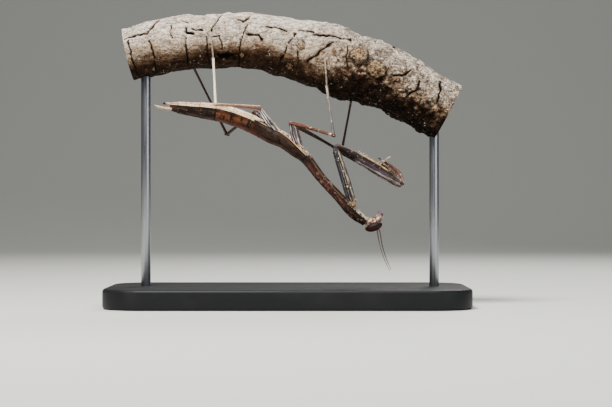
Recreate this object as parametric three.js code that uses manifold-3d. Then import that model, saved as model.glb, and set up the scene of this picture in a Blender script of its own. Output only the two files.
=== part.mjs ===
// A brown praying mantis nymph, life size, hanging under a cut length of branch on a plain display stand.
// Millimetres. +X points to the mantis's head end, +Z up, and the mantis's left side faces -Y.
// The origin is the centre of the stand's underside.
import * as THREE from "three";
import { mergeVertices } from "three/addons/utils/BufferGeometryUtils.js";
import Module from "manifold-3d";

const wasm = await Module();
wasm.setup();

// ---------- driving sizes ----------
const gap = 0.2; // clearance between neighbouring pieces
const bodyRoll = THREE.MathUtils.degToRad(12); // the left side is turned up towards the belly

const stand = { length: 90, width: 44, height: 5, corner: 10, chamfer: 0.8, rodRadius: 1.2, socket: 3 };
const rods = [
  { name: "stand_rod_rear", x: -35.5, top: 61 },
  { name: "stand_rod_front", x: 36.5, top: 46 },
];

// The branch: centre line and radius along its length, with two healed knots and a swelling.
const branch = [
  { x: -40, z: 62.9, r: 6.5 },
  { x: -32, z: 64.7, r: 6.8 },
  { x: -22, z: 66, r: 6.7 },
  { x: -12, z: 66.3, r: 6.8 },
  { x: -2, z: 65.1, r: 7.2 },
  { x: 8, z: 62.4, r: 8 },
  { x: 14, z: 60.2, r: 8.4 },
  { x: 20.5, z: 58.5, r: 8.1 },
  { x: 28, z: 55, r: 7.6 },
  { x: 34, z: 51.6, r: 7.4 },
  { x: 40, z: 48.4, r: 7.2 },
];
const knots = [
  { x: 14.3, angle: 205, height: 0.8, reach: 2.6 },
  { x: 20.2, angle: 188, height: 0.9, reach: 2.8 },
  { x: 9.5, angle: 95, height: 0.6, reach: 3.2 },
];

// The trunk from the tail end to the front of the pronotum: centre line, half depth and half width.
const trunk = [
  { x: -29.5, z: 49.9, deep: 0.8, wide: 0.9 },
  { x: -27, z: 49.5, deep: 1.35, wide: 1.5 },
  { x: -24.5, z: 49.2, deep: 1.65, wide: 1.95 },
  { x: -20.2, z: 48.7, deep: 2.05, wide: 2.4 },
  { x: -17, z: 48.2, deep: 2.15, wide: 2.6 },
  { x: -13.8, z: 47.3, deep: 2.2, wide: 2.7 },
  { x: -10.5, z: 46.1, deep: 2.2, wide: 2.6 },
  { x: -7.3, z: 44.5, deep: 2.15, wide: 2.4 },
  { x: -3.7, z: 42.6, deep: 2.1, wide: 2.3 },
  { x: -0.8, z: 41.2, deep: 1.95, wide: 2.2 },
  { x: 2.2, z: 38.9, deep: 1.7, wide: 1.9 },
  { x: 4.7, z: 36.7, deep: 1.4, wide: 1.6 },
  { x: 8, z: 32.4, deep: 1.2, wide: 1.2 },
  { x: 10.5, z: 29.6, deep: 1.16, wide: 1.12 },
  { x: 13, z: 26.95, deep: 1.2, wide: 1.2 },
  { x: 15.35, z: 24.35, deep: 1.42, wide: 1.65 },
  { x: 17.3, z: 22.55, deep: 1.36, wide: 1.45 },
  { x: 19.05, z: 21.2, deep: 0.95, wide: 1.05 },
];
const abdomenJoints = [0, 0.8, 1.7, 2.6, 3.7, 5, 6.3, 7.15]; // places along the trunk list
const metathoraxEnd = 8.9;
const pronotumStart = 10.95;
const pronotumEnd = trunk.length - 1;

// The head: its crown, the way from crown to mouth, and its sizes along that way.
const head = {
  crown: new THREE.Vector3(19.75, 0, 19.35),
  tilt: THREE.MathUtils.degToRad(42),
  rings: [
    { along: 0, wide: 1.5, deep: 0.45 },
    { along: 0.45, wide: 2.1, deep: 0.95 },
    { along: 1.3, wide: 2.35, deep: 1.25 },
    { along: 2.3, wide: 2.1, deep: 1.3 },
    { along: 3.2, wide: 1.5, deep: 1.15 },
    { along: 4, wide: 1.05, deep: 0.95 },
    { along: 4.5, wide: 0.9, deep: 0.75 },
  ],
  eye: { centre: new THREE.Vector3(21.35, 2.35, 19.8), tilt: THREE.MathUtils.degToRad(20), half: [1.15, 1.9, 1] },
};

const colours = {
  bark: 0xb5a089,
  straw: 0xc4a68a,
  brown: 0x6b4632,
  dark: 0x3a2a24,
  eye: 0x2e1a14,
  leg: 0x8c6c5a,
  stand: 0x2b2b2d,
  rod: 0x8f9296,
};

// ---------- solids ----------
const model = new THREE.Group();

function toSolid(geometry) {
  const bare = geometry.clone();
  bare.deleteAttribute("normal");
  bare.deleteAttribute("uv");
  const merged = mergeVertices(bare, 1e-4);
  const solid = new wasm.Manifold(
    new wasm.Mesh({
      numProp: 3,
      vertProperties: merged.attributes.position.array,
      triVerts: new Uint32Array(merged.index.array),
    }),
  );
  return solid;
}

function toGeometry(solid) {
  const mesh = solid.getMesh();
  return new THREE.BufferGeometry()
    .setAttribute("position", new THREE.BufferAttribute(mesh.vertProperties, 3))
    .setIndex(new THREE.BufferAttribute(mesh.triVerts, 1));
}

// Adds a named mesh: the pieces joined, then cut back by the neighbours, which are already grown by the gap.
// A cut may leave crumbs behind, and only the largest body is kept.
function addPart(name, colour, pieces, cutters = [], roughness = 0.6) {
  let solid = pieces.map(toSolid).reduce((sum, piece) => sum.add(piece));
  for (const cutter of cutters) solid = solid.subtract(toSolid(cutter));
  if (cutters.length) solid = solid.decompose().sort((a, b) => b.volume() - a.volume())[0];
  const material = new THREE.MeshStandardMaterial({ color: colour, roughness, metalness: 0 });
  const mesh = new THREE.Mesh(toGeometry(solid), material);
  mesh.name = name;
  model.add(mesh);
  return mesh;
}

// A closed skin over a row of rings. Each ring has a centre, two axes and a half size along each.
function loft(given, sides) {
  const along = given[given.length - 1].at.clone().sub(given[0].at);
  const facesOut = given[0].side.clone().cross(given[0].up).dot(along) > 0;
  const rings = facesOut ? given : [...given].reverse();
  const geometry = new THREE.CylinderGeometry(1, 1, 1, sides, rings.length - 1);
  const position = geometry.attributes.position;
  const point = new THREE.Vector3();
  for (let i = 0; i < position.count; i++) {
    point.fromBufferAttribute(position, i);
    const ring = rings[Math.round((0.5 - point.y) * (rings.length - 1))];
    const shaped = ring.section ? ring.section(point.x, point.z) : [point.x, point.z];
    point.copy(ring.at).addScaledVector(ring.side, shaped[0] * ring.wide);
    point.addScaledVector(ring.up, shaped[1] * ring.deep);
    position.setXYZ(i, point.x, point.y, point.z);
  }
  return geometry;
}

// A tapering limb through the given points. Girths are [half width, half depth] spread evenly along it,
// and the depth lies as near as it can to the given way.
function limb(points, girths, { sides = 7, steps = 4, grow = 0, deepWay = new THREE.Vector3(0, 0, 1) } = {}) {
  const curve = new THREE.CatmullRomCurve3(points, false, "centripetal");
  const rings = [];
  for (let i = 0; i <= steps; i++) {
    const t = i / steps;
    const tangent = curve.getTangentAt(t);
    const side = deepWay.clone().cross(tangent).normalize();
    const up = tangent.clone().cross(side).normalize();
    const place = t * (girths.length - 1);
    const index = Math.min(Math.floor(place), girths.length - 2);
    const mix = (a, b) => a + (b - a) * (place - index);
    rings.push({
      at: curve.getPointAt(t),
      side,
      up,
      wide: mix(girths[index][0], girths[index + 1][0]) + grow,
      deep: mix(girths[index][1], girths[index + 1][1]) + grow,
    });
  }
  return loft(rings, sides);
}

// A thin pointed spine from its root to its tip, blunt enough to be printed.
function spine(root, tip, radius) {
  const way = tip.clone().sub(root);
  const geometry = new THREE.CylinderGeometry(radius * 0.35, radius, way.length(), 4);
  geometry.translate(0, way.length() / 2, 0);
  const turn = new THREE.Quaternion().setFromUnitVectors(new THREE.Vector3(0, 1, 0), way.clone().normalize());
  geometry.applyQuaternion(turn);
  return geometry.translate(root.x, root.y, root.z);
}

const at = (x, y, z) => new THREE.Vector3(x, y, z);

// ---------- stand ----------
function standBase() {
  const { length, width, height, corner, chamfer } = stand;
  const x = length / 2 - chamfer;
  const y = width / 2 - chamfer;
  const r = corner - chamfer;
  const outline = new THREE.Shape();
  outline.absarc(x - r, -y + r, r, -Math.PI / 2, 0);
  outline.absarc(x - r, y - r, r, 0, Math.PI / 2);
  outline.absarc(-x + r, y - r, r, Math.PI / 2, Math.PI);
  outline.absarc(-x + r, -y + r, r, Math.PI, Math.PI * 1.5);
  return new THREE.ExtrudeGeometry(outline, {
    depth: height - 2 * chamfer,
    bevelSize: chamfer,
    bevelThickness: chamfer,
    bevelSegments: 1,
    curveSegments: 4,
  }).translate(0, 0, chamfer);
}

function rodShape(rod, grow = 0) {
  const foot = stand.height - stand.socket;
  const length = rod.top - foot + 2 * grow;
  const radius = stand.rodRadius + grow;
  return new THREE.CylinderGeometry(radius, radius, length, 16)
    .rotateX(Math.PI / 2)
    .translate(rod.x, 0, foot - grow + length / 2);
}

// ---------- branch ----------
const branchLine = new THREE.SplineCurve(branch.map((s) => new THREE.Vector2(s.x, s.z)));
const branchSteps = 27;
const branchSides = 22;
const lineSamples = 1000; // places tried along the centre line when the one nearest to a foot is sought
const barkPasses = 8; // rounds that settle a foot on the uneven bark

function branchRadius(t, x, angle) {
  const place = t * (branch.length - 1);
  const index = Math.min(Math.floor(place), branch.length - 2);
  const base = THREE.MathUtils.lerp(branch[index].r, branch[index + 1].r, place - index);
  let lift = 0.18 * Math.sin(3 * angle + x * 0.35) + 0.12 * Math.sin(x * 0.8 + 2 * angle);
  for (const knot of knots) {
    const away = THREE.MathUtils.euclideanModulo(angle - THREE.MathUtils.degToRad(knot.angle) + Math.PI, 2 * Math.PI);
    const round = (away - Math.PI) * base;
    const distance = Math.hypot(x - knot.x, round) / knot.reach;
    lift += knot.height * Math.exp(-distance * distance);
  }
  return base + lift;
}

// Angles run round the branch from its top (90 degrees) through the -Y side (180) to its underside (270).
function branchShape() {
  const rings = [];
  for (let i = 0; i <= branchSteps; i++) {
    const t = i / branchSteps;
    const centre = branchLine.getPoint(t);
    const tangent = branchLine.getTangent(t);
    rings.push({
      at: at(centre.x, 0, centre.y),
      side: at(0, 1, 0),
      up: at(-tangent.y, 0, tangent.x),
      wide: 1,
      deep: 1,
      section: (c, s) => {
        const long = Math.hypot(c, s);
        if (long < 0.5) return [0, 0];
        const r = branchRadius(t, centre.x, Math.atan2(s, c));
        return [(c / long) * r, (s / long) * r];
      },
    });
  }
  return loft(rings, branchSides);
}

// The point with the given x and z that stands the given clearance off the bark, on the left or right side.
function onBark(x, z, side, clearance) {
  let t = 0;
  let nearest = Infinity;
  for (let i = 0; i <= lineSamples; i++) {
    const away = branchLine.getPoint(i / lineSamples).distanceTo(new THREE.Vector2(x, z));
    if (away < nearest) [nearest, t] = [away, i / lineSamples];
  }
  const centre = branchLine.getPoint(t);
  const tangent = branchLine.getTangent(t);
  const above = (z - centre.y) * tangent.x - (x - centre.x) * tangent.y;
  let y = nearest;
  for (let i = 0; i < barkPasses; i++) {
    const reach = branchRadius(t, centre.x, Math.atan2(above, side * y)) + clearance;
    y = Math.sqrt(Math.max(reach * reach - above * above, 0.01));
  }
  return at(x, side * y, z);
}

addPart("stand_base", colours.stand, [standBase()], rods.map((rod) => rodShape(rod, gap)));
for (const rod of rods) addPart(rod.name, colours.rod, [rodShape(rod)], [], 0.35);
addPart("perch_branch", colours.bark, [branchShape()], rods.map((rod) => rodShape(rod, gap)), 0.9);

// ---------- trunk ----------
const trunkLast = trunk.length - 1;
const trunkLine = new THREE.SplineCurve(trunk.map((s) => new THREE.Vector2(s.x, s.z)));
const trunkGirth = new THREE.SplineCurve(trunk.map((s) => new THREE.Vector2(s.wide, s.deep)));
const edgeLift = 0.22; // the side edge lies this share of the half depth towards the belly

// The frame of the trunk at a place on its list: centre, left side, belly side, and girth.
function trunkFrame(place) {
  const t = place / trunkLast;
  const centre = trunkLine.getPoint(t);
  const tangent = trunkLine.getTangent(t);
  const girth = trunkGirth.getPoint(t);
  const belly = at(-tangent.y, 0, tangent.x);
  const left = at(0, -1, 0);
  return {
    at: at(centre.x, 0, centre.y),
    along: at(tangent.x, 0, tangent.y),
    side: left.clone().multiplyScalar(Math.cos(bodyRoll)).addScaledVector(belly, Math.sin(bodyRoll)),
    up: belly.clone().multiplyScalar(Math.cos(bodyRoll)).addScaledVector(left, -Math.sin(bodyRoll)),
    wide: girth.x,
    deep: girth.y,
  };
}

// The trunk's section: a domed back and a flatter belly that meet in a side edge.
function trunkSection(across, deep) {
  if (Math.hypot(across, deep) < 0.5) return [0, edgeLift];
  return [across, edgeLift + deep * (deep > 0 ? 1 - edgeLift : 1 + edgeLift)];
}

// A length of the trunk between two places, with its rear rim flared to lap over the next one.
function trunkLength(from, to, { steps = 2, sides = 12, grow = 0, flare = 0, trim = gap / 2 } = {}) {
  const rings = [];
  for (let i = 0; i <= steps; i++) {
    const share = i / steps;
    const frame = trunkFrame(from + (to - from) * share);
    const shift = i === 0 ? trim : i === steps ? -trim : 0;
    frame.at.addScaledVector(frame.along, shift);
    frame.wide += grow + flare * (1 - share);
    frame.deep += grow + flare * (1 - share);
    frame.section = trunkSection;
    rings.push(frame);
  }
  return loft(rings, sides);
}

const grownTrunk = (from, to, steps) => trunkLength(from, to, { steps, grow: gap, trim: 0 });

// ---------- wing pads ----------
// A pad is a leaf of the trunk's own skin, half sunk in its back. Angles run from the side edge (0) up to the
// middle of the back (90). The outer margin is straight and the inner one curves to meet it at the rear tip.
const pads = {
  hind: { from: 6.5, to: 8.35, margin: [2, -34], ridge: 70, lift: [-0.05, -0.35] },
  fore: { from: 8.5, to: 10.8, margin: [-26, -18], ridge: 70, lift: [-0.25, -0.4] },
};
const padWidths = [0.28, 0.65, 0.88, 1, 1, 1];
const padThick = 0.5;

function wingPad(leftSide, { from, to, margin, ridge, lift }, grow = 0) {
  const geometry = new THREE.BoxGeometry(1, 1, 1, padWidths.length - 1, 3, 1);
  const position = geometry.attributes.position;
  const point = new THREE.Vector3();
  const { lerp, degToRad } = THREE.MathUtils;
  for (let i = 0; i < position.count; i++) {
    point.fromBufferAttribute(position, i);
    const share = point.x + 0.5;
    const frame = trunkFrame(from + (to - from) * share);
    frame.at.addScaledVector(frame.along, 2 * grow * point.x);
    const width = padWidths[Math.round(share * (padWidths.length - 1))];
    const outer = lerp(margin[0], margin[1], share);
    const spare = (grow / frame.deep) * 2 * point.y;
    const angle = degToRad(outer + (ridge - outer) * width * (point.y + 0.5)) + spare;
    const lifted = lerp(lift[0], lift[1], share) + padThick / 2 + point.z * (padThick + 2 * grow);
    const [across, deep] = trunkSection(Math.cos(angle), -Math.sin(angle));
    const place = frame.at.clone();
    place.addScaledVector(frame.side, (leftSide ? 1 : -1) * (across * frame.wide + Math.cos(angle) * lifted));
    place.addScaledVector(frame.up, deep * frame.deep - Math.sin(angle) * lifted);
    position.setXYZ(i, place.x, place.y, place.z);
  }
  return toGeometry(toSolidEitherWay(geometry));
}

// A box bent into place may come out with its faces turned in, so it is turned round if it does.
function toSolidEitherWay(geometry) {
  const solid = toSolid(geometry);
  if (solid.volume() > 0) return solid;
  const index = geometry.index.array;
  for (let i = 0; i < index.length; i += 3) [index[i + 1], index[i + 2]] = [index[i + 2], index[i + 1]];
  return toSolid(geometry);
}

const leftPads = [wingPad(true, pads.hind, gap), wingPad(true, pads.fore, gap)];
const rightPads = [wingPad(false, pads.hind, gap), wingPad(false, pads.fore, gap)];
const padRoom = [...leftPads, ...rightPads];
for (const [pair, pad] of Object.entries(pads)) {
  addPart(`wing_pad_${pair}_left`, colours.dark, [wingPad(true, pad)]);
  addPart(`wing_pad_${pair}_right`, colours.dark, [wingPad(false, pad)]);
}

abdomenJoints.slice(0, -1).forEach((from, i) => {
  const name = "abdomen_segment_" + (abdomenJoints.length - 1 - i);
  const room = i === abdomenJoints.length - 2 ? padRoom : [];
  addPart(name, colours.brown, [trunkLength(from, abdomenJoints[i + 1], { flare: 0.1 })], room);
});
const metathoraxStart = abdomenJoints[abdomenJoints.length - 1];
addPart("metathorax", colours.brown, [trunkLength(metathoraxStart, metathoraxEnd, { steps: 3 })], padRoom);
addPart("mesothorax", colours.brown, [trunkLength(metathoraxEnd, pronotumStart, { steps: 3 })], padRoom);
addPart("pronotum", colours.brown, [trunkLength(pronotumStart, pronotumEnd, { steps: 12, flare: 0.12 })]);

// ---------- tail ----------
const tailEnd = grownTrunk(0, 0.9, 2);
const cerci = [
  { name: "cercus_left", y: -0.6, spread: -0.65 },
  { name: "cercus_right", y: 0.5, spread: 0.75 },
];
for (const cercus of cerci) {
  const path = [
    at(-28.9, cercus.y, 49.2),
    at(-31.6, cercus.y + cercus.spread * 0.5, 49.5),
    at(-33.3, cercus.y + cercus.spread, 50.1),
  ];
  addPart(cercus.name, colours.straw, [limb(path, [[0.4, 0.4], [0.42, 0.38], [0.25, 0.25]], { steps: 5 })], [tailEnd]);
}
const platePath = [at(-28.8, 0, 50.3), at(-30.3, 0, 50.6), at(-31.3, 0, 50.7)];
addPart("tail_plate", colours.straw, [limb(platePath, [[0.8, 0.4], [0.6, 0.35], [0.3, 0.25]])], [tailEnd]);

// ---------- head ----------
const mouthWay = at(Math.cos(head.tilt), 0, Math.sin(head.tilt));
const faceWay = at(Math.sin(head.tilt), 0, -Math.cos(head.tilt));
const headPoint = (along, side, front) =>
  head.crown.clone().addScaledVector(mouthWay, along).addScaledVector(faceWay, front).add(at(0, side, 0));

function headShape(grow = 0) {
  const rings = head.rings.map((ring) => ({
    at: headPoint(ring.along, 0, 0),
    side: at(0, -1, 0),
    up: faceWay.clone().negate(),
    wide: ring.wide + grow,
    deep: ring.deep + grow,
  }));
  return loft(rings, 16);
}

function eyeShape(side, grow = 0) {
  const { centre, tilt, half } = head.eye;
  return new THREE.SphereGeometry(1, 12, 8)
    .rotateX(Math.PI / 2)
    .scale(half[1] + grow, half[0] + grow, half[2] + grow)
    .rotateY(-tilt)
    .translate(centre.x, side * centre.y, centre.z);
}

const neckPath = [at(18.6, 0, 21.6), at(19.7, 0, 21.35), headPoint(2, 0, -0.5)];
const neck = (grow) => limb(neckPath, [[0.85, 0.8], [0.85, 0.8], [0.85, 0.8]], { sides: 10, grow });
addPart("neck", colours.straw, [neck(0)], [grownTrunk(16, trunkLast, 3), headShape(gap)]);
addPart("head", colours.brown, [headShape()], [eyeShape(-1, gap), eyeShape(1, gap)]);
addPart("eye_left", colours.eye, [eyeShape(-1)], [], 0.25);
addPart("eye_right", colours.eye, [eyeShape(1)], [], 0.25);

// Lip, jaws and feelers of the mouth, joined.
const mouthPieces = [
  limb([headPoint(4.4, 0, 0.1), headPoint(5.1, 0, 0.1), headPoint(5.7, 0, 0.1)], [[0.8, 0.6], [0.7, 0.5], [0.4, 0.3]]),
];
for (const side of [-1, 1]) {
  const long = [headPoint(4.5, side * 0.5, 0), headPoint(5.1, side * 1, -0.5), headPoint(5.7, side * 0.9, -0.9)];
  const short = [headPoint(4.6, side * 0.25, 0), headPoint(4.9, side * 0.35, -0.9), headPoint(5, side * 0.3, -1.5)];
  for (const palp of [long, short]) mouthPieces.push(limb(palp, [[0.27, 0.27], [0.25, 0.25]], { sides: 5, steps: 3 }));
}
addPart("mouth", colours.straw, mouthPieces, [headShape(gap)]);

const antennae = [
  { name: "antenna_left", y: -0.5, spread: -2.1 },
  { name: "antenna_right", y: 0.5, spread: 3.4 },
];
for (const { name, y, spread } of antennae) {
  const lead = spread > 0 ? 0.7 : 0; // the right one stands a little further forward
  const path = [
    at(22, y, 20.4),
    at(22.3 + lead, y + spread * 0.2, 18.5),
    at(22.9 + lead, y + spread * 0.5, 15.3),
    at(23.9 + lead, y + spread * 0.8, 12),
    at(25.3 + lead, y + spread, 8.8),
  ];
  const options = { sides: 6, steps: 9, deepWay: at(0, 1, 0) };
  addPart(name, colours.dark, [limb(path, [[0.3, 0.3], [0.25, 0.25], [0.25, 0.25]], options)], [headShape(gap)]);
}

// ---------- grasping forelegs ----------
const foreCoxaGirth = [[0.75, 0.85], [0.85, 0.92], [0.75, 0.8], [0.55, 0.6]];
const foreFemurGirth = [[0.5, 0.55], [0.6, 0.85], [0.75, 1.1], [0.75, 1.2], [0.7, 1.1], [0.6, 0.85], [0.5, 0.6]];
const foreTibiaGirth = [[0.45, 0.45], [0.5, 0.5], [0.45, 0.5], [0.3, 0.32]];

const forelegs = {
  left: {
    coxa: [at(16.5, -1.3, 25), at(14.3, -2, 32.4), at(12, -2.5, 39.5)],
    femur: [at(12, -2.6, 40.1), at(16.2, -2.6, 37.8), at(20.3, -2.5, 35.6), at(25.1, -2.3, 32.7), at(28.5, -2.2, 30.5)],
    tibia: [at(28.4, -2.2, 30.7), at(28.2, -2.4, 32), at(27.3, -2.5, 33.5), at(25.8, -2.6, 34.7), at(23.9, -2.8, 36)],
    tarsus: [at(24.2, -3.1, 36.1), at(24.5, -5, 36.6), at(25.1, -7.2, 37)],
  },
  right: {
    coxa: [at(16.3, 1.2, 24.4), at(14.1, 2, 31.8), at(11.8, 2.5, 38.9)],
    femur: [at(11.6, 2.6, 39.5), at(15.7, 2.6, 37.8), at(19.8, 2.5, 35.6), at(24.6, 2.3, 32.4), at(28, 2.2, 30.1)],
    tibia: [at(27.9, 2.2, 30.2), at(27.7, 2.4, 31.5), at(26.8, 2.5, 33), at(25.3, 2.6, 34.2), at(23.4, 2.8, 35.6)],
    tarsus: [at(23.6, 3.1, 35.8), at(23.5, 5, 36.6), at(23.1, 7.2, 37.1)],
  },
};

// Two rows of spines on the grasping side, which stand at right angles to the limb and lean outwards.
function spineRows(path, { from, to, count, length, radius, sink, way, lean }) {
  const curve = new THREE.CatmullRomCurve3(path, false, "centripetal");
  const spines = [];
  for (let i = 0; i < count; i++) {
    const t = from + ((to - from) * i) / (count - 1);
    const tangent = curve.getTangentAt(t);
    const across = at(0, 1, 0);
    const out = way.clone().addScaledVector(tangent, -way.dot(tangent)).normalize();
    for (const side of [-1, 1]) {
      const root = curve.getPointAt(t).addScaledVector(out, sink).addScaledVector(across, side * lean * 0.8);
      const reach = length * (i % 2 ? 0.7 : 1);
      const tip = root.clone().addScaledVector(out, reach).addScaledVector(across, side * lean * 0.5);
      spines.push(spine(root, tip, radius));
    }
  }
  return spines;
}

const graspWay = at(0.5, 0, 0.87); // from the femur towards the folded tibia
const foreFemurOptions = { sides: 12, steps: 9, deepWay: at(-0.5, 0, -0.87) };
for (const [side, leg] of Object.entries(forelegs)) {
  const coxa = (grow) => limb(leg.coxa, foreCoxaGirth, { sides: 10, steps: 4, grow, deepWay: at(1, 0, 0.3) });
  const femur = (grow) => limb(leg.femur, foreFemurGirth, { ...foreFemurOptions, grow });
  const tibia = (grow) => limb(leg.tibia, foreTibiaGirth, { sides: 8, steps: 7, grow, deepWay: at(-0.5, 0, -0.87) });
  const femurSpines = spineRows(leg.femur, {
    from: 0.44, to: 0.82, count: 4, length: 1.1, radius: 0.22, sink: 0.5, way: graspWay, lean: 0.75,
  });
  const tibiaSpines = spineRows(leg.tibia, {
    from: 0.25, to: 0.75, count: 3, length: 0.6, radius: 0.2, sink: 0.2, way: at(-0.5, 0, -0.87), lean: 0.5,
  });
  addPart(`foreleg_${side}_coxa`, colours.leg, [coxa(0)], [grownTrunk(14, 16.5, 3)]);
  addPart(`foreleg_${side}_femur`, colours.leg, [femur(0), ...femurSpines], [coxa(gap)]);
  const femurGrown = femurSpines.map((piece) => piece.clone());
  addPart(`foreleg_${side}_tibia`, colours.leg, [tibia(0), ...tibiaSpines], [femur(gap), ...femurGrown]);
  const tarsus = limb(leg.tarsus, [[0.28, 0.28], [0.25, 0.25]], { sides: 6 });
  addPart(`foreleg_${side}_tarsus`, colours.leg, [tarsus], [tibia(gap)]);
}

// ---------- walking legs ----------
const walkingGirth = {
  mid: { coxa: [[0.65, 0.7], [0.52, 0.57], [0.45, 0.48]], femur: [[0.55, 0.6], [0.5, 0.52], [0.42, 0.42]] },
  hind: { coxa: [[0.9, 0.95], [0.75, 0.85], [0.55, 0.6]], femur: [[0.6, 0.65], [0.45, 0.48], [0.42, 0.42]] },
};
const ankleClearance = 0.55; // from the bark to the middle of the limb
const soleClearance = 0.42;
const tibiaGirth = [[0.42, 0.42], [0.36, 0.36], [0.3, 0.3]];
const tarsusGirth = [[0.3, 0.3], [0.26, 0.26], [0.26, 0.26]];

// Each foot is given by its x and z only, and lies against the bark on its own side.
const walkingLegs = {
  midleg_left: {
    kind: "mid",
    side: -1,
    coxa: [at(2, -1.2, 40.2), at(1.1, -2, 42.9), at(0.6, -2.8, 45.6)],
    knee: at(11.2, -12.5, 42.1),
    ankle: [9.6, 54.6],
    foot: [[9.5, 56.6], [9.3, 58.9], [9.1, 61.3]],
  },
  midleg_right: {
    kind: "mid",
    side: 1,
    coxa: [at(3.1, 1.1, 39.8), at(2.4, 2, 42.6), at(1.8, 2.8, 45.2)],
    knee: at(13.6, 10, 38.8),
    ankle: [16.2, 53],
    foot: [[16.5, 55.4], [16.8, 58.2], [17, 61]],
  },
  hindleg_left: {
    kind: "hind",
    side: -1,
    coxa: [at(-3.1, -1.6, 43.2), at(-5.2, -2.4, 46.6), at(-7.1, -3, 49.3)],
    knee: at(-17.25, -16.5, 49.4),
    ankle: [-18.4, 61.5],
    foot: [[-18.6, 64], [-19, 67.3], [-19.7, 70.4]],
  },
  hindleg_right: {
    kind: "hind",
    side: 1,
    coxa: [at(-3.8, 1.6, 43.9), at(-6.1, 2.6, 46.8), at(-8.1, 3.2, 48.6)],
    knee: at(-16, 16.5, 43.5),
    ankle: [-24, 60.2],
    foot: [[-24.7, 62.6], [-25.3, 65], [-25.6, 67.4]],
  },
};

for (const [name, leg] of Object.entries(walkingLegs)) {
  const girth = walkingGirth[leg.kind];
  const hip = leg.coxa[leg.coxa.length - 1];
  const ankle = onBark(...leg.ankle, leg.side, ankleClearance);
  const soles = leg.foot.map((place) => onBark(...place, leg.side, soleClearance));
  const bend = leg.knee.clone().sub(hip).normalize();
  const kneeEnd = leg.knee.clone().addScaledVector(bend, 0.25);
  const coxa = (grow) => limb(leg.coxa, girth.coxa, { steps: 4, grow, deepWay: at(1, 0, 0.6) });
  const femur = (grow) => limb([hip, kneeEnd], girth.femur, { steps: 4, grow, deepWay: at(0.3, 0, 1) });
  const tibia = (grow) => limb([leg.knee, ankle], tibiaGirth, { steps: 3, grow, deepWay: at(1, 0.2, 0) });
  const body = leg.kind === "mid" ? grownTrunk(8.5, 11.5, 4) : grownTrunk(6, 9.5, 4);
  addPart(`${name}_coxa`, colours.leg, [coxa(0)], [body, ...(name.endsWith("left") ? leftPads : rightPads)]);
  addPart(`${name}_femur`, colours.leg, [femur(0)], [coxa(gap)]);
  addPart(`${name}_tibia`, colours.leg, [tibia(0)], [femur(gap)]);
  const foot = limb([ankle, ...soles], tarsusGirth, { sides: 6, steps: 5, deepWay: at(1, 0, 0) });
  addPart(`${name}_tarsus`, colours.leg, [foot], [tibia(gap)]);
}

export default model;
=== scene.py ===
import bpy, bmesh, random
from math import asin, atan2, copysign, cos, degrees, exp, hypot, pi, radians, sin, sqrt
from mathutils import Vector, Matrix, noise


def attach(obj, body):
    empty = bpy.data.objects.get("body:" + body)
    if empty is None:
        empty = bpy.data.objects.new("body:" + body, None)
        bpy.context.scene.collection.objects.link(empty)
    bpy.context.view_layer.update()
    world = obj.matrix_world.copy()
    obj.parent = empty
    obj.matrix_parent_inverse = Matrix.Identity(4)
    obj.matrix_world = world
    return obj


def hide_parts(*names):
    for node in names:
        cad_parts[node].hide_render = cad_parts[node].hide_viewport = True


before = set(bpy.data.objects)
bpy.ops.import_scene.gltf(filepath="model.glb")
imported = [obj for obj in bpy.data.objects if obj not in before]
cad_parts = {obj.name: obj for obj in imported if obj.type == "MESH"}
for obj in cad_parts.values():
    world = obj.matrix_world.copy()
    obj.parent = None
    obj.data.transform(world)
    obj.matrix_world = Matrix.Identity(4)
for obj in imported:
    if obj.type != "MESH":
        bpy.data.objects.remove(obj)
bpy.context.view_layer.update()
random.seed(7)
noise.seed_set(7)
mm = 0.001  # pieces are worked out in millimetres and scaled when they are finished
mergeDistance = 1e-4

camera = dict(place=(4.5, -446, 25.6), lens=105)
lamps = {
    "keyLight": dict(place=(-90, -190, 380), size=130, power=5.2, colour=(1.0, 0.965, 0.91)),
    "fillLight": dict(place=(320, -280, 120), size=260, power=0.5, colour=(0.9, 0.95, 1.0)),
    "backLight": dict(place=(120, 260, 300), size=160, power=1.3, colour=(1.0, 0.98, 0.95)),
}
room = dict(colour=(0.5, 0.51, 0.49), light=(0.86, 0.9, 0.95), strength=0.16, wallAt=900, bend=400,
            halfWidth=2500, front=-3000)


def addObject(name, data):
    made = bpy.data.objects.new(name, data)
    bpy.context.scene.collection.objects.link(made)
    return made


def aimAt(thing, target):
    thing.rotation_euler = (Vector(target) * mm - thing.location).to_track_quat("-Z", "Y").to_euler()


def makeCamera():
    data = bpy.data.cameras.new("camera")
    data.lens = camera["lens"]
    data.sensor_width = 36
    data.clip_start = 0.01
    made = addObject("camera", data)
    made.location = Vector(camera["place"]) * mm
    made.rotation_euler = (radians(90), 0, 0)
    bpy.context.scene.camera = made


def makeLamps():
    for name, lamp in lamps.items():
        data = bpy.data.lights.new(name, "AREA")
        data.size = lamp["size"] * mm
        data.energy = lamp["power"]
        data.color = lamp["colour"]
        made = addObject(name, data)
        made.location = Vector(lamp["place"]) * mm
        aimAt(made, (0, 0, 40))
    world = bpy.data.worlds.new("softRoom")
    world.use_nodes = True
    world.node_tree.nodes["Background"].inputs["Color"].default_value = (*room["light"], 1)
    world.node_tree.nodes["Background"].inputs["Strength"].default_value = room["strength"]
    bpy.context.scene.world = world


makeCamera()
makeLamps()
print("camera and lights are in place")


def mix(a, b, t):
    return a + (b - a) * t


def ease(low, high, x):
    t = min(max((x - low) / (high - low), 0), 1)
    return t * t * (3 - 2 * t)


def hump(x, centre, reach):
    return exp(-(((x - centre) / reach) ** 2))


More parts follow.
